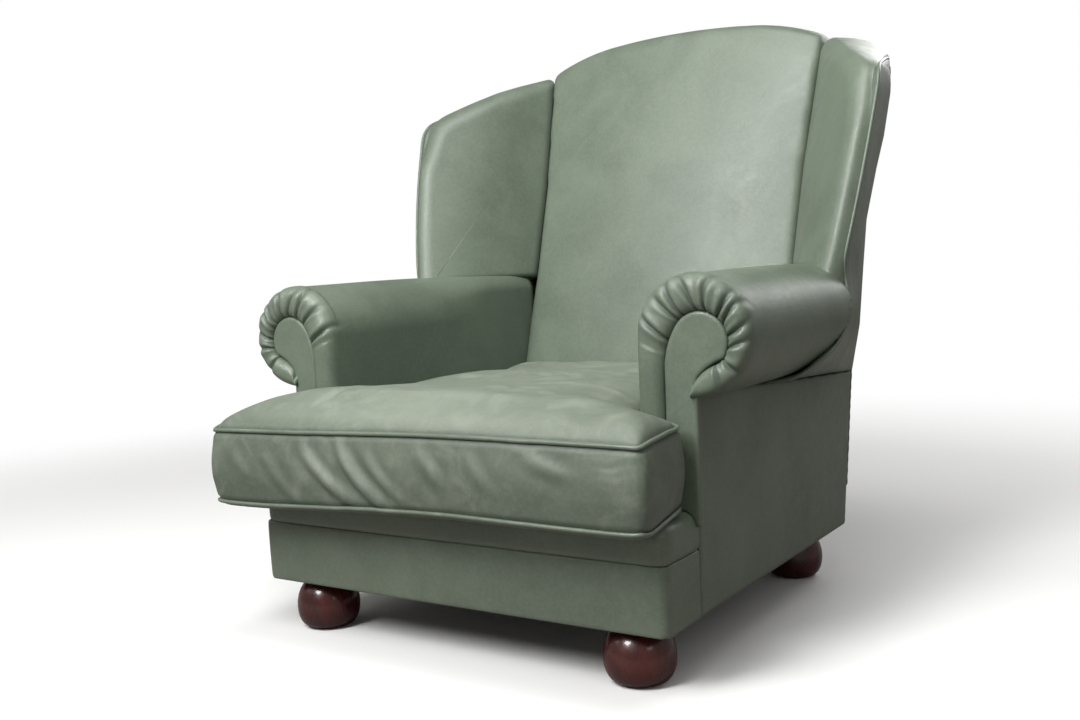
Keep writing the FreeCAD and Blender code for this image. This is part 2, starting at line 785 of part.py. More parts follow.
def cushionPiping(z, inset, rear, rounding):
    # A cord with six flats round the cushion's outline
    radius = pipingRadius
    rise = radius * math.sqrt(0.75)
    walls = []
    for outward in (1, -1):
        sections = []
        for height, offset in ((-rise, radius / 2), (0, radius), (rise, radius / 2)):
            sections.append(cushionOutline(z + height, inset - outward * offset, rear, rounding))
        walls.append(skinned(sections))
    return walls[0].cut(walls[1])


def cushion():
    body = cushionBody(0)
    inner = cushionBody(coverThickness)
    bandY = 199.5 + 3
    slot = box(-zipHalf - 1, zipHalf + 1, bandY - 4, bandY + 10, zipZ - 13, zipZ + 13)
    keep("seat_cushion_cover", body.cut(inner).cut(slot))
    keep("seat_cushion_core", foamCore())
    tape = box(-zipHalf, zipHalf, bandY - 2.4, bandY - 0.4, zipZ - 12.5, zipZ + 12.5)
    chain = box(-zipHalf + 4, zipHalf - 4, bandY - 0.4, bandY + 1.2, zipZ - 3, zipZ + 3)
    keep("zip_tape", tape)
    keep("zip_chain", chain)
    length = 12
    x0 = -zipHalf + 6
    slider = prismX([(bandY + 0.2, zipZ - 4.2), (bandY + 0.2, zipZ - 3.4), (bandY + 1.6, zipZ - 3.4),
                     (bandY + 1.6, zipZ + 3.4), (bandY + 0.2, zipZ + 3.4), (bandY + 0.2, zipZ + 4.2),
                     (bandY + 3.4, zipZ + 4.2), (bandY + 3.4, zipZ - 4.2)], x0, x0 + length)
    keep("zip_slider", slider)
    for name, (z, inset, rear, rounding) in (("top", cushionLevels[4]), ("bottom", cushionLevels[1])):
        keep("cushion_piping_" + name, cushionPiping(z, inset - pipingRadius - 0.8, rear, rounding))


def main():
    seatFrame()
    feet()
    post, board, topRail, wingPost, wingTop, crown = upperFrame()
    seatWebbing()
    backWebbing()
    seatPlatform()
    arms(post, board, topRail, wingPost)
    wings(post, wingPost, wingTop, crown)
    backs(crown, post)
    cushion()

    os.makedirs("parts", exist_ok=True)
    whole = []
    for name, shapes in pieces.items():
        shapes = [shape.translated(V(0, -middleY, 0)) for shape in shapes]
        for shape in shapes:
            if not shape.isValid() or shape.Volume <= 0:
                print("check", name, shape.isValid(), shape.Volume)
        shape = shapes[0] if len(shapes) == 1 else Part.makeCompound(shapes)
        shape.exportStep("parts/" + name + ".step")
        whole.append(shape)
        size = shape.optimalBoundingBox(False)
        print("%-22s %d solids  x %7.1f %7.1f  y %7.1f %7.1f  z %7.1f %7.1f" % (
            name, len(shape.Solids), size.XMin, size.XMax, size.YMin, size.YMax, size.ZMin, size.ZMax))
    size = Part.makeCompound(whole).optimalBoundingBox(False)
    print("whole", len(pieces), size)


main()
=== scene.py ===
import json
import math

import bmesh
import bpy
import numpy as np
from mathutils import Matrix, Vector
from mathutils.bvhtree import BVHTree


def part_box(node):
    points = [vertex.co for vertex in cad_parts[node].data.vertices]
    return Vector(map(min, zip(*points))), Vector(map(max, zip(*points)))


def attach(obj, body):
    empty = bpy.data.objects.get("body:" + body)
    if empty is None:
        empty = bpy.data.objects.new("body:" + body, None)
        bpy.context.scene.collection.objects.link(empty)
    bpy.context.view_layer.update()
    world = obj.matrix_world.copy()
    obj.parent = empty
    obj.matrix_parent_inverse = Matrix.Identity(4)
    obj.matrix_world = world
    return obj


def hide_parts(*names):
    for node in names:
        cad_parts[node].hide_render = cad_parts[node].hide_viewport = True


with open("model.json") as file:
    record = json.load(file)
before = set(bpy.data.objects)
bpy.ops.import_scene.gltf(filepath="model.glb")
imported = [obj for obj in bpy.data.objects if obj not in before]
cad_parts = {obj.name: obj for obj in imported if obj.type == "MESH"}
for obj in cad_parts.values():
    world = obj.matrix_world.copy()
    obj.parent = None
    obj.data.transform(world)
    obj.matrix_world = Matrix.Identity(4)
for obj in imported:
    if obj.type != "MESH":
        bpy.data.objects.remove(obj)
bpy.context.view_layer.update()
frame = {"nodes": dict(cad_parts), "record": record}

# Wingback armchair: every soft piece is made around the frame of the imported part
nodes = frame["nodes"]
bpy.ops.object.select_all(action="DESELECT")
print("frame loaded,", len(nodes), "nodes")


# Shared mesh helpers
def smoothStep(low, high, x):
    t = np.clip((np.asarray(x, float) - low) / (high - low), 0, 1)
    return t * t * (3 - 2 * t)


def makeMesh(name, points, faces):
    mesh = bpy.data.meshes.new(name)
    mesh.from_pydata([tuple(p) for p in points], [], faces)
    mesh.validate()
    made = bpy.data.objects.new(name, mesh)
    bpy.context.scene.collection.objects.link(made)
    return made


def gridFaces(rows, columns, closed):
    faces = []
    for row in range(rows - 1):
        for column in range(columns if closed else columns - 1):
            after = (column + 1) % columns
            faces.append((row * columns + column, row * columns + after,
                          (row + 1) * columns + after, (row + 1) * columns + column))
    return faces


def closedTube(name, rings):
    rings = np.asarray(rings)
    rows, columns = rings.shape[:2]
    faces = gridFaces(rows, columns, True)
    faces.append(tuple(range(columns)))
    faces.append(tuple((rows - 1) * columns + index for index in reversed(range(columns))))
    made = makeMesh(name, rings.reshape(-1, 3), faces)
    turnOutwards(made)
    return made


def turnOutwards(piece):
    work = bmesh.new()
    work.from_mesh(piece.data)
    bmesh.ops.recalc_face_normals(work, faces=work.faces)
    work.to_mesh(piece.data)
    work.free()


def getPoints(piece):
    points = np.zeros(len(piece.data.vertices) * 3, np.float32)
    piece.data.vertices.foreach_get("co", points)
    return points.reshape(-1, 3).astype(float)


def setPoints(piece, points):
    piece.data.vertices.foreach_set("co", np.asarray(points, np.float32).ravel())
    piece.data.update()


def getNormals(piece):
    normals = np.zeros(len(piece.data.vertices) * 3, np.float32)
    piece.data.vertices.foreach_get("normal", normals)
    return normals.reshape(-1, 3).astype(float)


def applyModifier(piece, kind, **values):
    modifier = piece.modifiers.new(kind.lower(), kind)
    for key, value in values.items():
        setattr(modifier, key, value)
    bpy.ops.object.select_all(action="DESELECT")
    piece.select_set(True)
    bpy.context.view_layer.objects.active = piece
    bpy.ops.object.modifier_apply(modifier=modifier.name)
    piece.select_set(False)


def copyOfNode(name, node):
    # A merged copy of a CAD node's mesh, to be softened
    made = bpy.data.objects.new(name, nodes[node].data.copy())
    made.data.materials.clear()
    bpy.context.scene.collection.objects.link(made)
    work = bmesh.new()
    work.from_mesh(made.data)
    bmesh.ops.remove_doubles(work, verts=work.verts, dist=0.00002)
    work.to_mesh(made.data)
    work.free()
    return made


def softened(name, node, voxel, rounds, grow=0.0):
    # The solid's shape with soft edges, swollen or shrunk a little
    made = copyOfNode(name, node)
    applyModifier(made, "REMESH", mode="VOXEL", voxel_size=voxel, adaptivity=0)
    applyModifier(made, "SMOOTH", factor=0.5, iterations=rounds)
    if grow:
        setPoints(made, getPoints(made) + getNormals(made) * grow)
    return made


def finishPiece(piece, body, material, replaced=()):
    piece.data.materials.clear()
    piece.data.materials.append(material)
    piece.data.shade_smooth()
    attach(piece, body)
    if replaced:
        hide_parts(*replaced)
    return piece


def treeOf(piece):
    return BVHTree.FromPolygons([v.co.copy() for v in piece.data.vertices],
                                [tuple(p.vertices) for p in piece.data.polygons])


def tubeAlong(name, points, radius, closed=False, sides=10, order=4):
    # A round cord of leather along a smooth curve, made a mesh
    curve = bpy.data.curves.new(name, "CURVE")
    curve.dimensions = "3D"
    curve.bevel_depth = radius
    curve.bevel_resolution = max(1, (sides - 4) // 2)
    curve.use_fill_caps = not closed
    curve.resolution_u = 6
    spline = curve.splines.new("NURBS")
    spline.points.add(len(points) - 1)
    for index, point in enumerate(points):
        spline.points[index].co = (*point, 1)
    spline.order_u = order
    spline.use_cyclic_u = closed
    spline.use_endpoint_u = not closed
    holder = bpy.data.objects.new(name + "Line", curve)
    bpy.context.scene.collection.objects.link(holder)
    bpy.context.view_layer.update()
    evaluated = holder.evaluated_get(bpy.context.evaluated_depsgraph_get())
    mesh = bpy.data.meshes.new_from_object(evaluated)
    made = bpy.data.objects.new(name, mesh)
    mesh.name = name
    bpy.context.scene.collection.objects.link(made)
    bpy.data.objects.remove(holder)
    bpy.data.curves.remove(curve)
    work = bmesh.new()
    work.from_mesh(made.data)
    bmesh.ops.remove_doubles(work, verts=work.verts, dist=0.00001)
    bmesh.ops.recalc_face_normals(work, faces=work.faces)
    work.to_mesh(made.data)
    work.free()
    return made


def chainLengths(chain):
    # How far along a chain of points each of them lies
    return np.concatenate([[0], np.cumsum(np.linalg.norm(chain[1:] - chain[:-1], axis=1))])


def placesAlong(chain, lengths, wanted):
    return np.stack([np.interp(wanted, lengths, column) for column in chain.T], axis=1)


def distanceToLine(points, line):
    # Distance from each point to a chain of points, and how far along it the nearest place is, 0 to 1
    line = np.asarray(line, float)
    best = np.full(len(points), 1e9)
    along = np.zeros(len(points))
    lengths = np.linalg.norm(line[1:] - line[:-1], axis=1)
    total = lengths.sum()
    done = 0.0
    for a, b, length in zip(line[:-1], line[1:], lengths):
        t = np.clip(((points - a) @ (b - a)) / (length * length), 0, 1)
        distance = np.linalg.norm(points - (a + t[:, None] * (b - a)), axis=1)
        nearer = distance < best
        best = np.where(nearer, distance, best)
        along = np.where(nearer, (done + t * length) / total, along)
        done += length
    return best, along


def addFolds(piece, folds):
    # Soft ridges and creases: (line in a plane, width, height, the plane's normal axis and its sign)
    points = getPoints(piece)
    normals = getNormals(piece)
    lift = np.zeros(len(points))
    for line, width, height, axis, sign in folds:
        flat = [other for other in range(3) if other != axis]
        facing = smoothStep(0.25, 0.6, normals[:, axis] * sign)
        distance, along = distanceToLine(points[:, flat], line)
        taper = np.sin(np.pi * np.clip(along, 0.02, 0.98)) ** 0.6 * facing
        lift += height * taper * np.exp(-(distance / width) ** 2)
        lift -= 0.4 * height * taper * np.exp(-((distance - 1.8 * width) / width) ** 2)
    setPoints(piece, points + normals * lift[:, None])


def setMask(piece, name, values):
    attribute = piece.data.attributes.get(name) or piece.data.attributes.new(name, "FLOAT", "POINT")
    attribute.data.foreach_set("value", np.asarray(values, np.float32))


# Materials
def nodeGroup(name, inputs, outputs):
    group = bpy.data.node_groups.new(name, "ShaderNodeTree")
    for title, kind, value in inputs:
        socket = group.interface.new_socket(name=title, in_out="INPUT", socket_type="NodeSocket" + kind)
        if value is not None:
            socket.default_value = value
    for title, kind in outputs:
        group.interface.new_socket(name=title, in_out="OUTPUT", socket_type="NodeSocket" + kind)
    return group, group.nodes.new("NodeGroupInput"), group.nodes.new("NodeGroupOutput")


def addNode(tree, kind, **values):
    made = tree.nodes.new(kind)
    for key, value in values.items():
        if key in made.inputs:
            made.inputs[key].default_value = value
        else:
            setattr(made, key, value)
    return made


def mathNode(tree, operation, first, second=None, third=None, clamp=False):
    made = tree.nodes.new("ShaderNodeMath")
    made.operation = operation
    made.use_clamp = clamp
    for index, value in enumerate((first, second, third)):
        if value is None:
            continue
        if isinstance(value, (int, float)):
            made.inputs[index].default_value = value
        else:
            tree.links.new(value, made.inputs[index])
    return made.outputs[0]


def mixColour(tree, factor, first, second, blend="MIX"):
    made = tree.nodes.new("ShaderNodeMix")
    made.data_type = "RGBA"
    made.blend_type = blend
    for index, value in ((0, factor), (6, first), (7, second)):
        if isinstance(value, (int, float, tuple)):
            made.inputs[index].default_value = value
        else:
            tree.links.new(value, made.inputs[index])
    return made.outputs[2]


def rangeNode(tree, value, fromLow, fromHigh, toLow=0.0, toHigh=1.0):
    made = tree.nodes.new("ShaderNodeMapRange")
    made.interpolation_type = "SMOOTHSTEP"
    for index, number in enumerate((fromLow, fromHigh, toLow, toHigh)):
        made.inputs[index + 1].default_value = number
    tree.links.new(value, made.inputs[0])
    return made.outputs[0]


def placedNode(tree, place, kind, **values):
    made = addNode(tree, kind, **values)
    tree.links.new(place, made.inputs["Vector"])
    return made


def addBump(tree, shader, height, strength, distance):
    bump = addNode(tree, "ShaderNodeBump", Strength=strength, Distance=distance)
    tree.links.new(height, bump.inputs["Height"])
    tree.links.new(bump.outputs["Normal"], shader.inputs["Normal"])


def makeHideGroup():
    # Pigmented hide: cloudy colour, rubbed patches, fine pebble grain with pores and hairline creases, and
    # painted shade where the crease mask marks folds, pleats and seams
    group, enter, leave = nodeGroup("hideSurface", [
        ("Place", "Vector", None), ("Tone", "Color", (0.16, 0.21, 0.16, 1)),
        ("Pale", "Color", (0.25, 0.29, 0.24, 1)), ("Deep", "Color", (0.06, 0.09, 0.07, 1)),
        ("Worn", "Float", 0.0), ("Crease Shade", "Float", 0.0), ("Wear Amount", "Float", 0.5),
        ("Gloss", "Float", 0.4)],
        [("Colour", "Color"), ("Roughness", "Float"), ("Height", "Float")])
    link = group.links.new
    place = enter.outputs["Place"]

    def noise(scale, detail, distortion=0.0, roughness=0.55):
        return placedNode(group, place, "ShaderNodeTexNoise", Scale=scale, Detail=detail,
                          Distortion=distortion, Roughness=roughness).outputs["Fac"]

    cloud = noise(5.5, 4, 0.6)
    patch = noise(17, 5, 1.4, 0.62)
    speck = noise(160, 3)
    scratch = noise(46, 6, 3.2, 0.7)
    cells = placedNode(group, place, "ShaderNodeTexVoronoi", Scale=620.0, feature="DISTANCE_TO_EDGE")
    pebble = rangeNode(group, cells.outputs["Distance"], 0.0, 0.16)
    pores = placedNode(group, place, "ShaderNodeTexVoronoi", Scale=1150.0, feature="F1")
    pore = rangeNode(group, pores.outputs["Distance"], 0.05, 0.32)
    lines = addNode(group, "ShaderNodeTexVoronoi", Scale=64.0, feature="DISTANCE_TO_EDGE", Randomness=1.0)
    bent = placedNode(group, place, "ShaderNodeTexNoise", Scale=30.0, Detail=3.0)
    shifted = group.nodes.new("ShaderNodeVectorMath")
    shifted.operation = "MULTIPLY_ADD"
    link(bent.outputs["Color"], shifted.inputs[0])
    shifted.inputs[1].default_value = (0.02, 0.02, 0.02)
    link(place, shifted.inputs[2])
    link(shifted.outputs[0], lines.inputs["Vector"])
    hairline = rangeNode(group, lines.outputs["Distance"], 0.0, 0.05)

    def times(first, second):
        return mathNode(group, "MULTIPLY", first, second)

    def inverse(value):
        return mathNode(group, "SUBTRACT", 1.0, value)

    tone, pale, deep, creaseShade = (enter.outputs[key] for key in ("Tone", "Pale", "Deep", "Crease Shade"))
    worn = times(enter.outputs["Worn"], enter.outputs["Wear Amount"])
    rubbed = times(rangeNode(group, patch, 0.42, 0.72), enter.outputs["Wear Amount"])
    rubbed = mathNode(group, "ADD", times(rubbed, 0.55), worn, clamp=True)
    toned = mixColour(group, rangeNode(group, cloud, 0.32, 0.7, 0.0, 0.32), tone, deep)
    toned = mixColour(group, times(rubbed, 0.75), toned, pale)
    toned = mixColour(group, rangeNode(group, speck, 0.35, 0.7, 0.0, 0.12), toned, pale)
    toned = mixColour(group, times(inverse(hairline), 0.09), toned, deep)
    toned = mixColour(group, times(inverse(pebble), 0.2), toned, deep)
    # Painted shade: folds, pleats and seams darken towards the deep tone by the crease mask
    toned = mixColour(group, mathNode(group, "MULTIPLY", creaseShade, 0.85, clamp=True), toned, deep)
    link(toned, leave.inputs["Colour"])

    rough = mathNode(group, "ADD", enter.outputs["Gloss"], rangeNode(group, patch, 0.3, 0.75, -0.05, 0.08))
    rough = mathNode(group, "ADD", rough, times(worn, 0.14))
    rough = mathNode(group, "ADD", rough, rangeNode(group, scratch, 0.5, 0.75, 0.0, 0.06))
    rough = mathNode(group, "ADD", rough, times(creaseShade, 0.2), clamp=True)
    link(rough, leave.inputs["Roughness"])

    height = mathNode(group, "MULTIPLY", pebble, 0.55)
    height = mathNode(group, "MULTIPLY_ADD", pore, 0.16, height)
    height = mathNode(group, "MULTIPLY_ADD", hairline, 0.12, height)
    height = mathNode(group, "MULTIPLY_ADD", patch, 0.7, height)
    link(height, leave.inputs["Height"])
    return group


def objectPlace(tree, scale=(1, 1, 1), turn=(0, 0, 0)):
    source = tree.nodes.new("ShaderNodeTexCoord")
    mapping = tree.nodes.new("ShaderNodeMapping")
    mapping.inputs["Scale"].default_value = scale
    mapping.inputs["Rotation"].default_value = turn
    tree.links.new(source.outputs["Object"], mapping.inputs["Vector"])
    return mapping.outputs["Vector"]


def newMaterial(name):
    material = bpy.data.materials.new(name)
    material.use_nodes = True
    tree = material.node_tree
    return material, tree, tree.nodes["Principled BSDF"]


def readMask(tree, name):
    made = tree.nodes.new("ShaderNodeAttribute")
    made.attribute_name = name
    return made.outputs["Fac"]


hideGroup = makeHideGroup()


def makeHide(name, tone, pale, deep, wear, gloss, bumpStrength=0.3, turn=(0, 0, 0)):
    material, tree, shader = newMaterial(name)
    surface = tree.nodes.new("ShaderNodeGroup")
    surface.node_tree = hideGroup
    tree.links.new(objectPlace(tree, turn=turn), surface.inputs["Place"])
    for title, value in (("Tone", tone), ("Pale", pale), ("Deep", deep)):
        surface.inputs[title].default_value = (*value, 1)
    surface.inputs["Wear Amount"].default_value = wear
    surface.inputs["Gloss"].default_value = gloss
    tree.links.new(readMask(tree, "worn"), surface.inputs["Worn"])
    # The crease mask carries painted shade in folds, pleats and seams
    tree.links.new(readMask(tree, "crease_shade"), surface.inputs["Crease Shade"])
    addBump(tree, shader, surface.outputs["Height"], bumpStrength, 0.0006)
    tree.links.new(surface.outputs["Colour"], shader.inputs["Base Color"])
    tree.links.new(surface.outputs["Roughness"], shader.inputs["Roughness"])
    shader.inputs["Specular IOR Level"].default_value = 0.55
    return material


hideTones = {
    "tone": (0.136, 0.172, 0.126),
    "pale": (0.255, 0.292, 0.232),
    "deep": (0.036, 0.050, 0.037),
}
hide = makeHide("sageHide", hideTones["tone"], hideTones["pale"], hideTones["deep"], 0.22, 0.33)
seatHide = makeHide("wornSageHide", (0.112, 0.140, 0.104), (0.232, 0.262, 0.208), hideTones["deep"],
                    0.85, 0.42, 0.4, (0.3, 0.2, 0.5))
cordHide = makeHide("pipingHide", (0.128, 0.163, 0.120), hideTones["pale"], hideTones["deep"],
                    0.5, 0.33, 0.15)


def makeWood(name, light, dark, gloss, coat, ringScale, axis):
    material, tree, shader = newMaterial(name)
    place = objectPlace(tree, scale=axis)
    bands = placedNode(tree, place, "ShaderNodeTexNoise", Scale=ringScale, Detail=5.0, Distortion=1.2,
                       Roughness=0.6)
    fibres = placedNode(tree, place, "ShaderNodeTexNoise", Scale=ringScale * 9, Detail=3.0)
    share = rangeNode(tree, bands.outputs["Fac"], 0.3, 0.7)
    fine = rangeNode(tree, fibres.outputs["Fac"], 0.35, 0.7)
    colour = mixColour(tree, share, (*dark, 1), (*light, 1))
    colour = mixColour(tree, mathNode(tree, "MULTIPLY", fine, 0.3), colour, (*dark, 1))
    tree.links.new(colour, shader.inputs["Base Color"])
    tree.links.new(rangeNode(tree, fibres.outputs["Fac"], 0.3, 0.7, gloss - 0.05, gloss + 0.08),
                   shader.inputs["Roughness"])
    addBump(tree, shader, fibres.outputs["Fac"], 0.12, 0.0004)
    shader.inputs["Coat Weight"].default_value = coat
    shader.inputs["Coat Roughness"].default_value = 0.08
    return material


mahogany = makeWood("redMahogany", (0.088, 0.012, 0.009), (0.028, 0.005, 0.004), 0.3, 0.55, 14,
                    (1, 1, 0.35))
beech = makeWood("planedBeech", (0.60, 0.44, 0.28), (0.46, 0.32, 0.19), 0.55, 0.0, 18, (0.25, 1, 1))


def wavesPerMetre(pitch):
    return 1 / pitch / 20 * 3.14159


def makeWoven(name, light, dark, pitch, rough):
    # Plain weave on object coordinates: two crossed wave patterns, with fuzz
    material, tree, shader = newMaterial(name)
    place = objectPlace(tree)
    waves = []
    for direction in ("X", "Y"):
        wave = placedNode(tree, place, "ShaderNodeTexWave", Scale=wavesPerMetre(pitch), Distortion=0.6,
                          bands_direction=direction)
        wave.inputs["Detail Scale"].default_value = 3.0
        waves.append(wave.outputs["Fac"])
    weave = mathNode(tree, "MULTIPLY", waves[0], waves[1])
    fuzz = placedNode(tree, place, "ShaderNodeTexNoise", Scale=220.0, Detail=4.0)
    share = mathNode(tree, "ADD", mathNode(tree, "MULTIPLY", weave, 0.7),
                     mathNode(tree, "MULTIPLY", fuzz.outputs["Fac"], 0.4), clamp=True)
    tree.links.new(mixColour(tree, share, (*dark, 1), (*light, 1)), shader.inputs["Base Color"])
    tree.links.new(rangeNode(tree, fuzz.outputs["Fac"], 0.3, 0.7, rough - 0.08, rough + 0.06),
                   shader.inputs["Roughness"])
    addBump(tree, shader, share, 0.5, 0.0006)
    return material


jute = makeWoven("juteWebbing", (0.42, 0.32, 0.20), (0.22, 0.155, 0.09), 0.003, 0.85)
lining = makeWoven("blackLining", (0.035, 0.034, 0.033), (0.012, 0.012, 0.012), 0.0015, 0.9)
zipCloth = makeWoven("zipTapeCloth", (0.10, 0.13, 0.10), (0.05, 0.07, 0.05), 0.0012, 0.8)


def makeMetal(name, colour, rough):
    material, tree, shader = newMaterial(name)
    cloud = placedNode(tree, objectPlace(tree), "ShaderNodeTexNoise", Scale=90.0, Detail=5.0)
    darker = tuple(value * 0.7 for value in colour)
    share = rangeNode(tree, cloud.outputs["Fac"], 0.35, 0.65)
    tree.links.new(mixColour(tree, share, (*darker, 1), (*colour, 1)), shader.inputs["Base Color"])
    tree.links.new(rangeNode(tree, cloud.outputs["Fac"], 0.3, 0.7, rough - 0.08, rough + 0.1),
                   shader.inputs["Roughness"])
    shader.inputs["Metallic"].default_value = 1.0
    return material


zinc = makeMetal("zincPlate", (0.62, 0.63, 0.65), 0.35)
nickel = makeMetal("darkNickel", (0.35, 0.34, 0.32), 0.3)


def makeFoam():
    material, tree, shader = newMaterial("creamFoam")
    cells = placedNode(tree, objectPlace(tree), "ShaderNodeTexVoronoi", Scale=520.0).outputs["Distance"]
    toned = mixColour(tree, rangeNode(tree, cells, 0.1, 0.6), (0.60, 0.54, 0.36, 1), (0.78, 0.72, 0.54, 1))
    tree.links.new(toned, shader.inputs["Base Color"])
    tree.links.new(rangeNode(tree, cells, 0.1, 0.6, 0.95, 0.8), shader.inputs["Roughness"])
    addBump(tree, shader, cells, 0.4, 0.0006)
    return material


def makeCoil():
    material, tree, shader = newMaterial("nylonCoil")
    teeth = placedNode(tree, objectPlace(tree), "ShaderNodeTexWave", Scale=wavesPerMetre(0.0015),
                       bands_direction="X").outputs["Fac"]
    tree.links.new(mixColour(tree, teeth, (0.02, 0.025, 0.02, 1), (0.12, 0.14, 0.12, 1)),
                   shader.inputs["Base Color"])
    tree.links.new(rangeNode(tree, teeth, 0.0, 1.0, 0.6, 0.35), shader.inputs["Roughness"])
    addBump(tree, shader, teeth, 0.9, 0.0008)
    return material


foam = makeFoam()
coil = makeCoil()
print("materials made")

# Frame nodes that keep their own shape get their own material
finishes = {"beech": beech, "zinc_steel": zinc, "zip_metal": nickel, "zip_cloth": zipCloth,
            "zip_coil": coil, "webbing": jute, "lining_cloth": lining, "foam": foam, "leather": hide,
            "cushion_leather": seatHide, "foot_wood": mahogany}
for part in frame["record"]["subparts"]:
    owner = nodes[part["node"]]
    owner.data.materials.clear()
    owner.data.materials.append(finishes[part["material_slot"]])


# Wings: millimetres in the part's own dimensions, for the right side
wingSizes = {
    "edgeX": ((569, 447), (721, 470), (873, 484)), "edgeY": ((569, 112), (721, 151), (873, 201)),
    "backHalf": ((232, 287.5), (480, 287.5), (569, 283), (750, 287), (930, 299), (1070, 308)),
    "rearX": ((360, 371), (450, 382), (645, 386), (740, 400), (800, 411), (880, 419), (1100, 419)),
    "rearY": ((84, 326), (575, 421), (1000, 521)),
    "rollEnd": ((398, 428, -51.5), (421, 449, -18), (438, 457, 33), (467, 459, 81), (498, 454, 114),
                (540, 444, 124), (569, 445, 112)),
    "start": (310, 450), "end": (451, 219), "nose": 34, "bulge": 15, "middle": (165, 760),
    "armRoll": (375, 482, 87), "columns": 280, "innerRings": 42, "bandRings": 9, "lapOverBack": 9,
}
# Where the wing's silhouette, as (distance along the wing, height), meets a place on the piping or the rear
wingTop = [
    ((1, 991), (309, 511, 986)), ((3.5, 993), (340, 512, 988)), ((6, 993.5), (366, 512, 985)),
    ((9.5, 993.4), (388, 511.5, 973)), ((12.5, 992.8), (404, 510.5, 958)), ((17, 991.6), (413, 506, 948.5)),
    ((40, 985.6), (419.5, 471, 944)), ((85, 974), (429, 425, 937)), ((133, 960), (438.5, 383, 928.5)),
    ((190, 938.5), (454, 316, 916)), ((235, 920), (465, 272, 907)), ((262, 908.5), (471, 246, 902)),
    ((281, 896), (478, 213, 889)), ((293, 881), (482, 197, 866)), ((306, 850), (480, 189.4, 840)),
]
topRuns = [run for (run, _), _ in wingTop]
topLevels = [z for (_, z), _ in wingTop]
frameShift = (0, 0.0108, 0)  # from the zero of the part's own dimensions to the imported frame's


def inMetres(points, side):
    points = np.asarray(points, float) / 1000 - np.array(frameShift)
    if side == "left":
        points = points * np.array([-1, 1, 1])
    return points


def throughThree(keys, z):
    return np.polyval(np.polyfit([k[0] for k in keys], [k[1] for k in keys], 2), z)


def stepThrough(keys, z):
    return np.interp(z, [k[0] for k in keys], [k[1] for k in keys])


def wingChord(z):
    # The inner seam, the nose's inner corner, the outer edge and the direction through the wing at a height
    sizes = wingSizes
    z = np.asarray(z, float)
    seam = np.stack([stepThrough(sizes["backHalf"], z) + 1, 310 + 0.31 * (z - 569)], axis=-1)
    edge = np.stack([throughThree(sizes["edgeX"], z), throughThree(sizes["edgeY"], z)], axis=-1)
    along = (edge - seam) / np.linalg.norm(edge - seam, axis=-1)[..., None]
    across = np.stack([-along[..., 1], along[..., 0]], axis=-1)
    return seam, edge - across * sizes["nose"], edge, across


wingRun = np.array(wingSizes["end"], float) - np.array(wingSizes["start"], float)
wingRun /= np.linalg.norm(wingRun)


def runOf(point):
    return (point - np.array(wingSizes["start"], float)) @ wingRun


def innerWing(run, z):
    # Place on the wing's padded inner face
    seam, nose, _, across = wingChord(z)
    share = (run - runOf(seam)) / (runOf(nose) - runOf(seam))
    held = np.clip(share, 0, 1)
    swell = wingSizes["bulge"] * 4 * held * (1 - held)
    swell = swell + 2.2 * np.sin(run / 41 + 0.6) * np.sin(z / 87 + 1) * 4 * held * (1 - held)
    flat = seam + (nose - seam) * share[..., None] - across * swell[..., None]
    return np.concatenate([flat, np.asarray(z, float)[..., None]], axis=-1), across


def rollTop(x):
    # Height of the arm under a place on the wing
    middleX, middleZ, radius = wingSizes["armRoll"]
    curved = middleZ + np.sqrt(np.maximum(radius ** 2 - (x - middleX) ** 2, 0))
    return np.where(x > middleX, curved, middleZ + radius)


def smoothLoop(values, window):
    kernel = np.hanning(window + 2)[1:-1]
    kernel /= kernel.sum()
    half = window // 2
    padded = np.concatenate([values[-half:], values, values[:half]])
    return np.stack([np.convolve(column, kernel, "valid") for column in padded.T], axis=1)


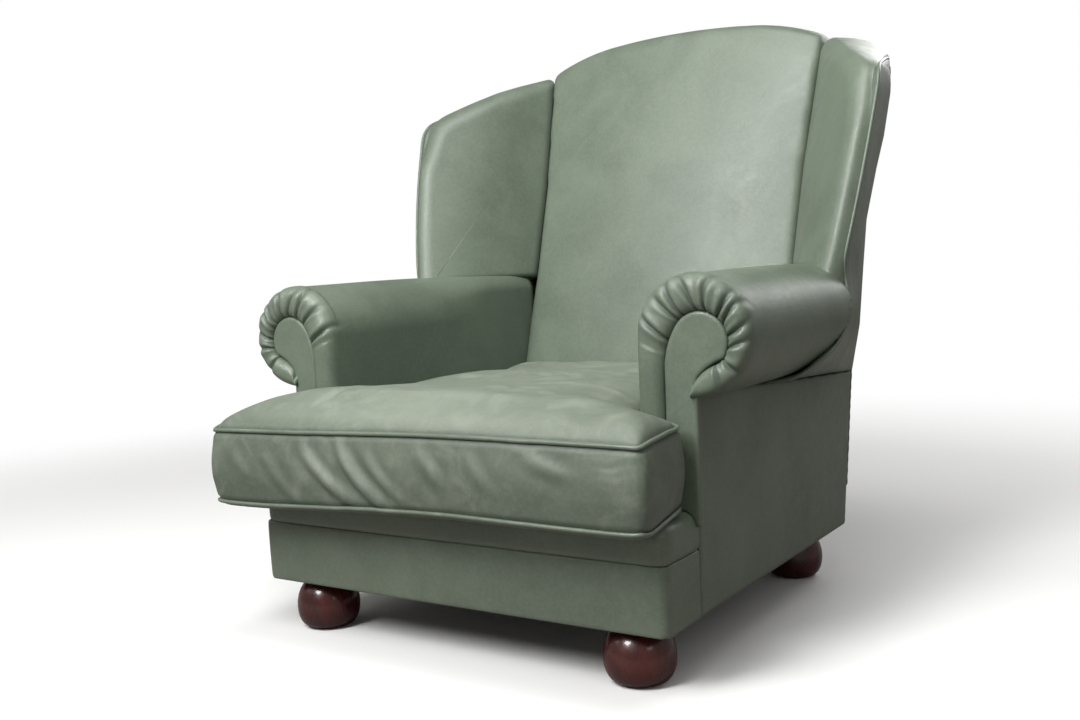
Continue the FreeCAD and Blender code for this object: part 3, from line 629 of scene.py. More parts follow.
def makeWingPad(side):
    sizes = wingSizes
    keys = []
    # Each key: run, height, rounding in the face, depth of the rounding, then the hidden or sewn end point
    for z in np.linspace(556, 985, 30):
        seam, _, _, across = wingChord(z)
        end = seam + across * 28
        keys.append((float(runOf(seam)) - sizes["lapOverBack"], z, 17, 13, end[0], end[1], z))
    for (run, z), end in wingTop:
        keys.append((run, z, 32, 26, *end))
    for z in (797, 760, 721, 683, 645, 607, 569, 545, 528):
        _, nose, edge, across = wingChord(z)
        if z < 600:
            # Low down it meets the panel's tail
            heights, tailX, tailY = np.array(sizes["rollEnd"]).T
            edge = np.array([np.interp(z, heights, tailX) + 2, np.interp(z, heights, tailY)])
        keys.append((float(runOf(nose)), z, 27, 17, edge[0] - 2, edge[1], z))
    for share in np.linspace(0.93, 0.04, 22):
        seam, nose, _, across = wingChord(562)
        place = seam + (nose - seam) * share
        z = float(rollTop(place[0])) - 8
        end = place + across * 18
        keys.append((float(runOf(place)), z, 12, 9, end[0], end[1], z - 12))
    keys = np.array(keys)
    closed = np.concatenate([keys, keys[:1]])
    # Even spacing along the silhouette, with extra room where only the end points move
    lengths = np.linalg.norm(closed[1:, :2] - closed[:-1, :2], axis=1)
    lengths += 0.22 * np.linalg.norm(closed[1:, 4:] - closed[:-1, 4:], axis=1)
    lengths = np.concatenate([[0], np.cumsum(lengths)])
    t = np.linspace(0, lengths[-1], sizes["columns"], endpoint=False)
    loop = placesAlong(closed, lengths, t)
    loop[:, :2] = smoothLoop(loop[:, :2], 7)
    loop[:, 4:] = smoothLoop(loop[:, 4:], 5)
    rim = loop[:, :2]
    ahead = np.roll(rim, -1, axis=0) - np.roll(rim, 1, axis=0)
    inward = np.stack([ahead[:, 1], -ahead[:, 0]], axis=1) / np.linalg.norm(ahead, axis=1)[:, None]
    inward = smoothLoop(inward * loop[:, 2:3], 13)
    start = rim + inward
    start[:, 1] = np.minimum(start[:, 1], np.interp(start[:, 0], topRuns, topLevels) - 31)
    seamEdge = runOf(wingChord(start[:, 1])[0]) + 13
    start[:, 0] = np.maximum(start[:, 0], seamEdge)
    start = smoothLoop(start, 21)
    # Angles round the middle only run one way, so that no facet folds over
    middle = np.array(sizes["middle"], float)
    reach = np.linalg.norm(start - middle, axis=1)
    angle = np.unwrap(np.arctan2(start[:, 1] - middle[1], start[:, 0] - middle[0]))
    angle = np.maximum(np.minimum.accumulate(angle), angle[0] - 2 * math.pi + 0.004)
    start = middle + np.stack([np.cos(angle), np.sin(angle)], axis=1) * reach[:, None]
    depth = smoothLoop(loop[:, 3:4], 9)[:, 0]

    rings = []
    for share in np.linspace(0.004, 1, sizes["innerRings"]):
        rz = middle + (start - middle) * share
        rings.append(innerWing(rz[:, 0], rz[:, 1])[0])
    for step in range(1, sizes["bandRings"] + 1):
        turn = math.pi / 2 * step / sizes["bandRings"]
        rz = start + (rim - start) * math.sin(turn)
        face, across = innerWing(rz[:, 0], rz[:, 1])
        face[:, :2] += across * (depth * (1 - math.cos(turn)))[:, None]
        rings.append(face)
    top = rings[-1]
    outward3 = rings[-1] - rings[-3]
    outward3 /= np.linalg.norm(outward3, axis=1)[:, None]
    _, across = innerWing(rim[:, 0], rim[:, 1])
    outward3[:, :2] -= across * (outward3[:, :2] * across).sum(axis=1)[:, None]
    outward3 /= np.linalg.norm(outward3, axis=1)[:, None]
    ends = loop[:, 4:]
    fall = ((ends - top) * outward3).sum(axis=1)[:, None] * outward3
    for step in range(1, sizes["bandRings"] + 1):
        turn = math.pi / 2 * step / sizes["bandRings"]
        rings.append(top + (ends - top - fall) * math.sin(turn) + fall * (1 - math.cos(turn)))
    # Hidden rear side
    for share, reach in ((0.97, 0.35), (0.9, 0.85)):
        rz = middle + (rim - middle) * share
        face, across = innerWing(rz[:, 0], rz[:, 1])
        face[:, :2] += across * 22
        rings.append(ends + (face - ends) * reach)
    rings = np.array(rings)
    piece = closedTube("insideWing_" + side, inMetres(rings, side))
    # Painted shade where the pad's edge tucks into its seams, and on its hidden rear side
    crease_shade = np.zeros(rings.shape[:2])
    seamSide = smoothLoop((loop[:, 2:3] < 20).astype(float), 9)[:, 0]
    first = sizes["innerRings"]
    for step in range(2 * sizes["bandRings"]):
        crease_shade[first + step] = seamSide * min(1, step / 5)
    crease_shade[first + 2 * sizes["bandRings"] - 1:] = 1
    crease_shade[first + 2 * sizes["bandRings"] - 2] = 0.6
    setMask(piece, "crease_shade", crease_shade.ravel() * 0.5)
    return piece


def wingCordLine():
    edges = [(float(throughThree(wingSizes["edgeX"], z)) - 2, float(throughThree(wingSizes["edgeY"], z)), z)
             for z in (607, 645, 683, 721, 760, 797, 840)]
    tail = [(x, y, z) for z, x, y in wingSizes["rollEnd"]]
    over = [end for _, end in wingTop if end[0] > 419 and end[2] > 850][::-1]
    return [(375, -58, 391), (402, -57, 392.5)] + tail + edges + over


def smoothChain(points, count, rounds=2):
    # Round off a chain's corners, then space its points evenly
    points = np.asarray(points, float)
    for _ in range(rounds):
        cut = [points[0]]
        for a, b in zip(points[:-1], points[1:]):
            cut += [a * 0.75 + b * 0.25, a * 0.25 + b * 0.75]
        points = np.array(cut + [points[-1]])
    lengths = chainLengths(points)
    return placesAlong(points, lengths, np.linspace(0, lengths[-1], count))


panelSizes = {"rows": 190, "columns": 56, "thickness": 4.6, "edge": 5.0, "bulge": 1.6}


def makeWingPanel(side):
    # Outside wing: leather over board, ruled from the piping to the chair's rear edge
    sizes = panelSizes
    front = smoothChain(wingCordLine() + [(412.5, 503, 948)], sizes["rows"])
    share = np.clip((front[:, 2] - 391) / (948 - 391), 0, 1)
    rearZ = 365.2 + (949 - 365.2) * share
    rearX = stepThrough(wingSizes["rearX"], rearZ) - 5 * smoothStep(0.9, 1.0, share)
    rear = np.stack([rearX, throughThree(wingSizes["rearY"], rearZ) - 6.2, rearZ], axis=1)
    w = np.linspace(0, 1, sizes["columns"])
    w = 0.5 - 0.5 * np.cos(w * math.pi) * (1 - 0.25 * np.sin(w * math.pi))
    outer = front[:, None] * (1 - w)[None, :, None] + rear[:, None] * w[None, :, None]
    across = np.gradient(outer, axis=1)
    upward = np.gradient(outer, axis=0)
    normal = np.cross(across, upward)
    length = np.linalg.norm(normal, axis=2)
    normal /= np.maximum(length, 1e-6)[..., None]
    normal *= np.sign(normal[:, :, :1] + 1e-9)
    run = np.linalg.norm(outer - front[:, None], axis=2)
    left = np.linalg.norm(outer - rear[:, None], axis=2)
    low = outer[:, :, 2] - outer[0, :, 2][None]
    rim = np.minimum(np.minimum(run, left), low + 3)
    drop = 2.6 * (1 - np.sqrt(1 - (1 - np.clip(rim / sizes["edge"], 0, 1)) ** 2))
    full = sizes["bulge"] * np.clip(rim / 60, 0, 1) ** 0.5
    outside = outer + normal * (full - drop)[..., None]
    inside = outer - normal * sizes["thickness"]
    rings = np.concatenate([outside, inside[:, ::-1]], axis=1)
    piece = closedTube("outsideWing_" + side, inMetres(rings, side))
    # Painted shade along the panel's rounded edges, where it meets the piping and the rear
    crease_shade = np.exp(-(np.concatenate([rim, rim[:, ::-1]], axis=1) / 4.0) ** 2)
    setMask(piece, "crease_shade", crease_shade.ravel() * 0.8)
    return piece


for side in ("right", "left"):
    finishPiece(makeWingPad(side), "chair", hide, ["inside_wing_" + side])
    panel = finishPiece(makeWingPanel(side), "chair", hide, ["outside_wing_" + side])
    if side == "right":
        lapBoard = treeOf(panel)
    cordPath = smoothChain(wingCordLine(), 60)
    pipe = tubeAlong("wingPiping_" + side, inMetres(cordPath, side), 0.0031)
    finishPiece(pipe, "chair", cordHide, ["wing_piping_" + side])
print("wings made")


# Scroll arms
armSizes = {
    "rollX": 0.375, "rollZ": 0.482, "rollRadius": 0.087, "bottomZ": 0.2392, "frontY": -0.3375,
    "underX": 0.3706, "wallX": 0.318, "railZ": 0.452, "rearY": 0.2880, "rounding": 0.027, "diveY": -0.3180,
    "headX": 0.385, "headZ": 0.474, "headRadius": 0.042, "legInnerX": 0.331, "legTop": 0.428,
    "rearCorner": 0.030,
    "columns": 230, "capRows": 26, "rollRows": 80,
}
# Each pleat: place along the scroll from 0 to 1, how far it runs, how it leans, depth in metres
pleats = {
    "right": [(0.405, 0.95, 0.012, 0.0060), (0.462, 0.75, 0.020, 0.0046), (0.505, 1.05, 0.006, 0.0052),
              (0.560, 1.00, -0.014, 0.0056), (0.607, 1.15, 0.018, 0.0054), (0.655, 0.95, 0.028, 0.0060),
              (0.703, 1.00, 0.010, 0.0056), (0.758, 0.85, -0.012, 0.0050), (0.812, 0.80, -0.018, 0.0050),
              (0.868, 0.85, -0.006, 0.0056), (0.925, 0.80, 0.004, 0.0044)],
    "left": [(0.398, 1.05, -0.006, 0.0058), (0.452, 0.85, 0.014, 0.0048), (0.512, 1.10, 0.010, 0.0056),
             (0.566, 0.80, -0.010, 0.0046), (0.612, 0.95, 0.012, 0.0054), (0.664, 0.85, 0.020, 0.0050),
             (0.714, 1.00, -0.010, 0.0056), (0.770, 0.80, -0.014, 0.0048), (0.826, 0.90, -0.010, 0.0056),
             (0.884, 0.80, 0.006, 0.0050)],
}


def alongPath(path, keys, t):
    # Point on a dense path at each t, where keys pair t with the share of the path
    lengths = chainLengths(path)
    return placesAlong(path, lengths, stepThrough(keys, t) * lengths[-1])


def arcPoints(centreX, centreZ, radius, first, last, count):
    turn = np.radians(np.linspace(first, last, count))
    return np.stack([centreX + radius * np.cos(turn), centreZ + radius * np.sin(turn)], axis=1)


def pathShare(path, point):
    # Share of the path's length at which it passes nearest to the point
    lengths = chainLengths(path)
    return lengths[np.argmin(np.linalg.norm(path - np.asarray(point), axis=1))] / lengths[-1]


def makeArmPad(side, lapBoard):
    sizes = armSizes
    rollX, rollZ, radius = sizes["rollX"], sizes["rollZ"], sizes["rollRadius"]
    inner = rollX - radius
    lastTurn = -math.degrees(math.acos((sizes["underX"] - rollX) / radius))
    wall = np.stack([np.full(60, inner), np.linspace(sizes["bottomZ"], rollZ, 60)], axis=1)
    scroll = np.concatenate([wall[:-1], arcPoints(rollX, rollZ, radius, 180, lastTurn, 200)])
    corner = sizes["rearCorner"]
    cornerZ = rollZ + radius - corner
    boxy = np.concatenate([
        np.stack([np.full(60, inner - 0.002), np.linspace(sizes["bottomZ"], cornerZ, 60)], axis=1),
        arcPoints(inner - 0.002 + corner, cornerZ, corner, 178, 90, 24),
        np.stack([np.linspace(inner + corner + 0.004, rollX, 20), np.full(20, rollZ + radius)], axis=1),
        arcPoints(rollX, rollZ, radius, 89, lastTurn, 120)])
    legTop = sizes["legTop"]
    headX, headZ, head = sizes["headX"], sizes["headZ"], sizes["headRadius"]
    legX = sizes["legInnerX"]
    facing = np.concatenate([
        np.stack([np.full(40, legX), np.linspace(sizes["bottomZ"], legTop, 40)], axis=1),
        [(legX + 0.0012, 0.446), (legX + 0.0038, 0.4635), (legX + 0.0095, 0.482)],
        arcPoints(headX, headZ, head, 148, -32, 90),
        [(0.4120, 0.4452), (0.4040, 0.4418), (0.3965, 0.4385), (0.3890, 0.4335), (0.3835, 0.4285),
         (0.3790, 0.4230), (0.3780, 0.4100)]])

    def scrollShare(x, z):
        return pathShare(scroll, (x, z))

    def atTurn(degrees):
        turn = math.radians(degrees)
        return rollX + radius * math.cos(turn), rollZ + radius * math.sin(turn)

    matches = [((inner, sizes["bottomZ"]), (legX, sizes["bottomZ"])), ((inner, 0.440), (legX, legTop)),
               (atTurn(148), facing[43]), (atTurn(90), (headX + 0.004, headZ + head)),
               (atTurn(20), (headX + head * 0.95, headZ + 0.012)), (atTurn(-32), (0.4206, 0.4517)),
               (atTurn(-68), (0.4040, 0.4418)), (atTurn(-86), (0.3835, 0.4285)),
               ((sizes["underX"], 0.3951), (0.3780, 0.4100))]
    facingKeys = [(scrollShare(*a), pathShare(facing, b)) for a, b in matches]
    topShare = scrollShare(rollX, rollZ + radius)
    boxyKeys = [(0, 0), (topShare, pathShare(boxy, (rollX, rollZ + radius))), (1, 1)]
    columns = sizes["columns"]
    t = np.linspace(0, 1, columns)
    outer = alongPath(scroll, [(0, 0), (1, 1)], t)
    rear = alongPath(boxy, boxyKeys, t)
    edge = alongPath(facing, facingKeys, t)

    frontY, rounding = sizes["frontY"], sizes["rounding"]
    middle = (outer + edge) / 2
    local = np.linalg.norm(np.gradient(middle, t, axis=0), axis=1)
    rings = []
    creaseShades = []

    def pleatLift(run):
        # How far the surface sinks round a ring, and the painted shade in its valleys; run goes from 0 at
        # the facing's edge to 1 at the roll's
        lift = np.zeros(columns)
        shade = np.zeros(columns)
        for place, reach, lean, depth in pleats[side]:
            if run > reach + 0.25:
                continue
            width = 0.0022 + 0.0022 * min(run, 1)
            fade = float(1 - smoothStep(reach * 0.45, reach + 0.25, run))
            gap = (t - place - lean * run - 0.006 * math.sin(place * 57 + run * 4)) * local
            valley = np.exp(-(gap / width) ** 2)
            ridge = np.exp(-((np.abs(gap) - 2.3 * width) / (1.5 * width)) ** 2)
            lift += fade * depth * (0.32 * ridge - valley)
            shade += fade * valley
        return lift, np.clip(shade, 0, 1)

    # Front: from the facing's edge forward, over the bulge and back to the edge of the roll
    for row in range(sizes["capRows"]):
        run = row / (sizes["capRows"] - 1)
        turn = math.pi * (1 - run)
        bend = 2 / 2.5
        across = 0.5 + 0.5 * math.copysign(abs(math.cos(turn)) ** bend, math.cos(turn))
        rise = abs(math.sin(turn)) ** bend if 0 < row < sizes["capRows"] - 1 else 0.0
        back = (sizes["diveY"] - frontY) if run < 0.5 else rounding
        y = frontY + back * (1 - rise)
        plane = edge + (outer - edge) * across
        lift, shade = pleatLift(run)
        outward = (outer - edge) / np.maximum(np.linalg.norm(outer - edge, axis=1), 1e-6)[:, None]
        lean = max(0.0, across - 0.5) * 1.6 * (1 - rise)
        plane = plane + outward * (lift * min(lean, 1))[:, None]
        fullness = 0.0016 * np.sin(np.pi * run) * np.sin(t * 61 + 1.3) * (t > 0.36)
        depthY = y - lift * (1 - min(lean, 1)) - fullness
        rings.append(np.stack([plane[:, 0], np.broadcast_to(depthY, columns), plane[:, 1]], axis=1))
        creaseShades.append(shade)
    startY = frontY + rounding
    for row in range(1, sizes["rollRows"]):
        share = row / (sizes["rollRows"] - 1)
        y = startY + (sizes["rearY"] - startY) * share ** 1.35
        weight = float(smoothStep(-0.09, 0.17, y)) * 0.92
        plane = outer + (rear - outer) * (weight * (t < topShare + 0.002))[:, None]
        lift, shade = pleatLift(1 + (y - startY) / 0.07)
        sag = 0.0022 * math.sin((y + 0.2) * 9) * np.exp(-((t - 0.52) / 0.12) ** 2)
        centre = np.array([rollX, rollZ])
        outward = (plane - centre) / np.linalg.norm(plane - centre, axis=1)[:, None]
        outward[t < scrollShare(inner, rollZ)] = (-1, 0)
        plane = plane + outward * (lift * 0.8 + sag)[:, None]
        rings.append(np.stack([plane[:, 0], np.full(columns, y), plane[:, 1]], axis=1))
        creaseShades.append(shade)

    # The loop closes along the timbers' side, out of sight
    loops = []
    masks = []
    for ring, shade in zip(rings, creaseShades):
        y = ring[:, 1].mean() + 0.004 if ring[0, 1] < sizes["diveY"] else ring[0, 1]
        y = max(y, sizes["diveY"])
        underX, wallX, railZ = sizes["underX"], sizes["wallX"], sizes["railZ"]
        hidden = [(underX, y, 0.43), (underX, y, railZ), (0.345, y, railZ), (wallX, y, railZ),
                  (wallX, y, 0.38), (wallX, y, 0.31), (wallX, y, sizes["bottomZ"] + 0.001)]
        loops.append(np.concatenate([ring, hidden]))
        masks.append(np.concatenate([shade, np.zeros(len(hidden))]))
    loops = np.array(loops)
    # Behind the outside wing's tail the roll stays inside the panel
    for row in range(len(loops)):
        if loops[row, 0, 1] < -0.075:
            continue
        for column in range(columns):
            x, y, z = loops[row, column]
            hit = lapBoard.ray_cast(Vector((0.30, y, z)), Vector((1, 0, 0)))[0] if x > 0.34 else None
            if hit is not None:
                loops[row, column, 0] = min(x, hit.x - 0.0015)
    if side == "left":
        loops[:, :, 0] *= -1
    piece = closedTube("armPad_" + side, loops)
    # Painted shade in the pleat valleys of the scroll
    setMask(piece, "crease_shade", np.array(masks).ravel() * 0.8)
    worn = np.zeros(loops.shape[:2])
    topFront = np.exp(-((t - 0.56) / 0.16) ** 2)
    for row in range(len(loops)):
        worn[row, :columns] = topFront * math.exp(-((loops[row, 60, 1] + 0.33) / 0.10) ** 2) * 0.9
    setMask(piece, "worn", worn.ravel())
    return piece


for side in ("right", "left"):
    finishPiece(makeArmPad(side, lapBoard), "chair", hide, ["arm_pad_" + side])
print("arms made")


# Panels and pads softened from their solids
softSizes = {
    # CAD node: piece, voxel, smoothing rounds, growth, fill
    "arm_facing_right": ("armFacing_right", 0.0022, 8, 0.0004, 0.9),
    "arm_facing_left": ("armFacing_left", 0.0022, 8, 0.0004, 0.9),
    "outside_arm_right": ("outsideArm_right", 0.0035, 6, 0.0004, 0.9),
    "outside_arm_left": ("outsideArm_left", 0.0035, 6, 0.0004, 0.9),
    "inside_back": ("insideBack", 0.0060, 20, 0.0016, 0.9),
    "outside_back": ("outsideBack", 0.0036, 18, 0.0, 0.9),
    "front_lip": ("frontLip", 0.0045, 14, 0.0006, 0.85),
    "front_border": ("frontBorder", 0.0030, 8, 0.0004, 0.9),
}


def settleSoft(node, points):
    # Small warps by which neighbours meet
    x, y, z = points.T
    if node.startswith("arm_facing"):
        # The facing's foot follows the rounded end of the lip
        past = np.clip(np.abs(x) - 0.351, 0, 0.0219)
        fall = 0.024 - np.sqrt(0.022 ** 2 - past ** 2)
        points[:, 2] -= fall * smoothStep(0.285, 0.243, z)
    elif node == "front_lip":
        # The lip settles on the border, meets the arms and bulges a little
        points[:, 2] -= 0.0022 * smoothStep(0.196, 0.186, z)
        points[:, 1] += 0.0034 * smoothStep(-0.334, -0.320, y)
    elif node == "front_border":
        # The border bellies forward and closes on its left seam and on the lip
        height = np.clip((z - 0.084) / 0.098, 0, 1)
        belly = 0.0030 * smoothStep(-0.408, -0.416, y) * np.sin(np.pi * height)
        points[:, 1] -= belly * np.cos(x / 0.37 * 1.3)
        points[:, 0] -= 0.0070 * smoothStep(-0.20, -0.37, x) * (0.6 + 0.4 * height)
        points[:, 2] += 0.0012 * smoothStep(0.172, 0.182, z)


for node, (name, voxel, rounds, grow, fill) in softSizes.items():
    piece = softened(name, node, voxel, rounds, grow)
    points = getPoints(piece)
    settleSoft(node, points)
    setPoints(piece, points)
    finishPiece(piece, "chair", hide, [node])
print("facings, panels, back, lip and border made")


# Seat cushion
cushionSizes = {
    "frontHalf": 0.400, "frontY": -0.5168, "earRearHalf": 0.376, "earRearY": -0.3488, "bodyHalf": 0.2775,
    "crownDepth": 0.085, "earCrown": 0.030, "voxel": 0.0076, "cap": 0.007,
    "levels": [(0.2392, 0.026, 0.178, 0.020), (0.2420, 0.010, 0.181, 0.022), (0.2470, 0.004, 0.182, 0.024),
               (0.290, -0.002, 0.189, 0.024), (0.320, -0.002, 0.190, 0.024), (0.358, 0.003, 0.202, 0.020),
               (0.366, 0.008, 0.203, 0.018), (0.376, 0.022, 0.203, 0.018), (0.385, 0.052, 0.203, 0.016),
               (0.393, 0.090, 0.203, 0.014), (0.398, 0.135, 0.203, 0.012)],
    "topCreases": 46, "dip": -0.008,
    # Slack leather on the front, where each fold leans: start and end x, top and low z, height, width
    "frontFolds": [
        (-0.195, -0.085, 0.352, 0.256, 0.0066, 0.0095), (-0.120, -0.030, 0.356, 0.252, 0.0072, 0.0090),
        (-0.066, 0.010, 0.340, 0.262, 0.0034, 0.0080), (0.030, 0.085, 0.350, 0.290, 0.0030, 0.0100),
        (0.120, 0.165, 0.345, 0.285, 0.0030, 0.0100), (-0.270, -0.200, 0.335, 0.258, 0.0028, 0.0090),
        (0.200, 0.290, 0.352, 0.318, 0.0028, 0.0090), (0.060, 0.076, 0.330, 0.262, 0.0024, 0.0085),
        (-0.345, -0.300, 0.345, 0.290, 0.0020, 0.0100)],
    "puckers": [(0.00, 0.0), (0.006, -0.012), (0.012, -0.023)],
    "clearX": 0.2838, "clearZ": 0.2386,
}


def cushionLoop(z, inset, rear, rounding):
    sizes = cushionSizes
    frontY = sizes["frontY"] + min(inset, sizes["crownDepth"])
    earRearY = sizes["earRearY"] - min(inset, sizes["earCrown"])
    corners = [(sizes["frontHalf"] - inset, frontY), (sizes["earRearHalf"] - inset, earRearY),
               (sizes["bodyHalf"] - inset, earRearY), (sizes["bodyHalf"] - inset, rear - inset)]
    corners += [(-x, y) for x, y in reversed(corners)]
    loop = []
    count = len(corners)
    for index, corner in enumerate(corners):
        corner = np.array(corner)
        before = np.array(corners[index - 1])
        after = np.array(corners[(index + 1) % count])
        start = corner + (before - corner) / np.linalg.norm(before - corner) * rounding
        end = corner + (after - corner) / np.linalg.norm(after - corner) * rounding
        for share in (0, 0.25, 0.5, 0.75, 1):
            loop.append(start * (1 - share) ** 2 + corner * 2 * share * (1 - share) + end * share ** 2)
        span = after - corner
        if np.linalg.norm(span) > 0.2:
            inward = np.array([-span[1], span[0]]) / np.linalg.norm(span) * 0.004
            for share in (0.2, 0.4, 0.6, 0.8):
                loop.append(corner + span * share + inward * math.sin(math.pi * share))
    return [(x, y, z) for x, y in loop]


def swell(piece, pressure, cap, frames=20):
    # Pressure cloth: the closed cover is blown up a little, then how far it moved is capped
    rest = getPoints(piece)
    modifier = piece.modifiers.new("swell", "CLOTH")
    settings = modifier.settings
    settings.use_pressure = True
    settings.uniform_pressure_force = pressure
    settings.effector_weights.gravity = 0
    settings.tension_stiffness = 12
    settings.compression_stiffness = 12
    settings.shear_stiffness = 6
    settings.bending_stiffness = 0.6
    modifier.collision_settings.use_collision = False
    scene = bpy.context.scene
    for number in range(1, frames + 1):
        scene.frame_set(number)
    evaluated = piece.evaluated_get(bpy.context.evaluated_depsgraph_get())
    moved = np.zeros(len(rest) * 3, np.float32)
    evaluated.to_mesh().vertices.foreach_get("co", moved)
    evaluated.to_mesh_clear()
    piece.modifiers.remove(modifier)
    scene.frame_set(1)
    shift = moved.reshape(-1, 3) - rest
    length = np.linalg.norm(shift, axis=1)
    shift *= (np.minimum(length, cap) / np.maximum(length, 1e-9))[:, None]
    print("cushion swelled by up to", round(float(length.max()), 4))
    setPoints(piece, rest + shift)


def bumpyNoise(points, scale, seed):
    # Smooth, repeatable unevenness between -1 and 1
    rng = np.random.default_rng(seed)
    total = np.zeros(len(points))
    for _ in range(7):
        direction = rng.normal(size=3)
        direction /= np.linalg.norm(direction)
        phase = rng.uniform(0, 6.28)
        total += np.sin(points @ direction * scale * rng.uniform(0.7, 1.5) + phase)
    return total / 4


def makeCushion():
    sizes = cushionSizes
    rings = [cushionLoop(*level) for level in sizes["levels"]]
    piece = closedTube("seatCushion", rings)
    applyModifier(piece, "TRIANGULATE")
    applyModifier(piece, "REMESH", mode="VOXEL", voxel_size=sizes["voxel"], adaptivity=0)
    applyModifier(piece, "SMOOTH", factor=0.5, iterations=4)
    swell(piece, 4.0, sizes["cap"])
    applyModifier(piece, "SMOOTH", factor=0.5, iterations=2)
    applyModifier(piece, "SUBSURF", levels=1, render_levels=1)
    return piece


def sagged(points):
    # The part that hangs over the lip sags, more towards the left
    points = np.array(points, float)
    x, y, z = points.T
    hang = smoothStep(-0.415, -0.51, y)
    fall = 0.006 + 0.014 * smoothStep(0.1, -0.38, x)
    points[:, 2] -= hang * fall * (1 - 0.5 * smoothStep(0.33, 0.40, z))
    points[:, 0] -= hang * 0.006
    return points


def shapeCushion(piece):
    points = getPoints(piece)
    x, y, z = points.T
    top = smoothStep(0.366, 0.380, z)
    # A sat-on seat: the crown is uneven, and lowest in the middle of the rear half
    level = points * (1, 1, 0.2)
    lumps = bumpyNoise(level, 17, 4) * 0.0046 + bumpyNoise(level, 44, 9) * 0.0026
    dip = cushionSizes["dip"] * np.exp(-((x / 0.17) ** 2 + ((y + 0.05) / 0.17) ** 2))
    points[:, 2] += top * (lumps + dip)
    setPoints(piece, points)

    rng = np.random.default_rng(12)
    folds = []
    for _ in range(cushionSizes["topCreases"]):
        cx, cy = rng.uniform(-0.26, 0.22), rng.uniform(-0.40, 0.15)
        heading = rng.normal(0.55, 0.55)
        length = rng.uniform(0.03, 0.10)
        bend = rng.normal(0, 0.012)
        ahead = np.array([math.cos(heading), math.sin(heading)])
        aside = np.array([-ahead[1], ahead[0]])
        line = [np.array([cx, cy]) + ahead * length * s + aside * bend * (1 - s * s)
                for s in (-1, -0.5, 0, 0.5, 1)]
        width = rng.uniform(0.007, 0.014)
        height = rng.choice([-1, 1]) * rng.uniform(0.0014, 0.0032)
        folds.append((line, width, height, 2, 1))
    for startX, endX, topZ, lowZ, height, width in cushionSizes["frontFolds"]:
        line = [(startX + (endX - startX) * (0.55 * s + 0.45 * s ** 2.2), topZ + (lowZ - topZ) * s)
                for s in (0, 0.2, 0.4, 0.6, 0.8, 1)]
        folds.append((line, width, height, 1, -1))
    # Small puckers in the front right corner
    for dx, dz in cushionSizes["puckers"]:
        folds.append(([(0.318 + dx, 0.345 + dz), (0.345 + dx, 0.340 + dz), (0.366 + dx / 2, 0.347 + dz)],
                      0.0045, 0.0008, 1, -1))
    addFolds(piece, folds)

    points = getPoints(piece)
    x, y, z = points.T
    points = sagged(points)
    y, z = points[:, 1], points[:, 2]
    # It stays clear of the arms, the deck and the zip
    between = y > -0.352
    limit = cushionSizes["clearX"]
    points[:, 0] = np.where(between, np.clip(points[:, 0], -limit, limit), points[:, 0])
    held = y > -0.428
    points[:, 2] = np.where(held, np.maximum(points[:, 2], cushionSizes["clearZ"]), points[:, 2])
    nearZip = smoothStep(0.232, 0.218, np.abs(x)) * smoothStep(0.023, 0.015, np.abs(z - 0.304)) * (y > 0.15)
    zipWall = np.minimum(points[:, 1], 0.1886 + (1 - nearZip) * 0.012)
    points[:, 1] = np.where(nearZip > 0, zipWall, points[:, 1])
    setPoints(piece, points)


cushion = makeCushion()
shapeCushion(cushion)
cushionTree = treeOf(cushion)


def cushionEdge(z, inset, rear, rounding):
    # The seam line on the finished cushion, at its nearest place to the cut outline
    line = []
    loop = np.array(cushionLoop(z, inset, rear, rounding))
    dense = []
    for a, b in zip(loop, np.roll(loop, -1, axis=0)):
        pieces = max(1, int(np.linalg.norm(b - a) / 0.02))
        for step in range(pieces):
            dense.append(a + (b - a) * step / pieces)
    dense = np.array(dense)
    ahead = np.roll(dense, -1, axis=0) - np.roll(dense, 1, axis=0)
    for point, along in zip(dense, ahead):
        outward = Vector((along[1], -along[0], 0)).normalized()
        spot = Vector(sagged([point])[0])
        hit, normal, _, _ = cushionTree.find_nearest(spot + outward * 0.006)
        line.append(tuple(hit + normal * 0.0008))
    return line


pipeRadius = 0.0031
seamLines = {"top": cushionEdge(0.3665, 0.006, 0.203, 0.018),
             "bottom": cushionEdge(0.2445, 0.004, 0.182, 0.022)}
grooved = getPoints(cushion)
crease_shade = np.zeros(len(grooved))
for title, line in seamLines.items():
    gap, _ = distanceToLine(grooved, line + line[:1])
    inward = -getNormals(cushion)
    grooved += inward * (0.0022 * np.exp(-((gap - 0.0035) / 0.0035) ** 2))[:, None]
    # Painted shade along the piping seams, in their grooves
    crease_shade = np.maximum(crease_shade, np.exp(-((gap - 0.002) / 0.0035) ** 2))
setPoints(cushion, grooved)
setMask(cushion, "crease_shade", crease_shade * 0.7)
wornTop = smoothStep(0.355, 0.378, grooved[:, 2]) * (0.45 + 0.55 * np.exp(-((grooved[:, 0] / 0.24) ** 2)))
wornEdge = np.exp(-((grooved[:, 2] - 0.335) / 0.03) ** 2) * smoothStep(-0.50, -0.52, grooved[:, 1]) * 0.4
setMask(cushion, "worn", np.clip(wornTop + wornEdge, 0, 1))
finishPiece(cushion, "seat_cushion", seatHide, ["seat_cushion_cover"])
for title, line in seamLines.items():
    pipe = tubeAlong("cushionPiping_" + title, line, pipeRadius, closed=True)
    finishPiece(pipe, "seat_cushion", cordHide, ["cushion_piping_" + title])
print("seat cushion made")

# Feet
footSizes = {
    "sides": 64,
    "profile": [  # height and radius, from the floor up
        (0.0, 0.029), (0.0012, 0.034), (0.005, 0.0412), (0.010, 0.0458), (0.017, 0.0492), (0.026, 0.0514),
        (0.036, 0.052), (0.046, 0.0514), (0.055, 0.0494), (0.063, 0.0463), (0.070, 0.0422),
        (0.0755, 0.0375), (0.0785, 0.0348), (0.080, 0.034), (0.085, 0.034)],
}


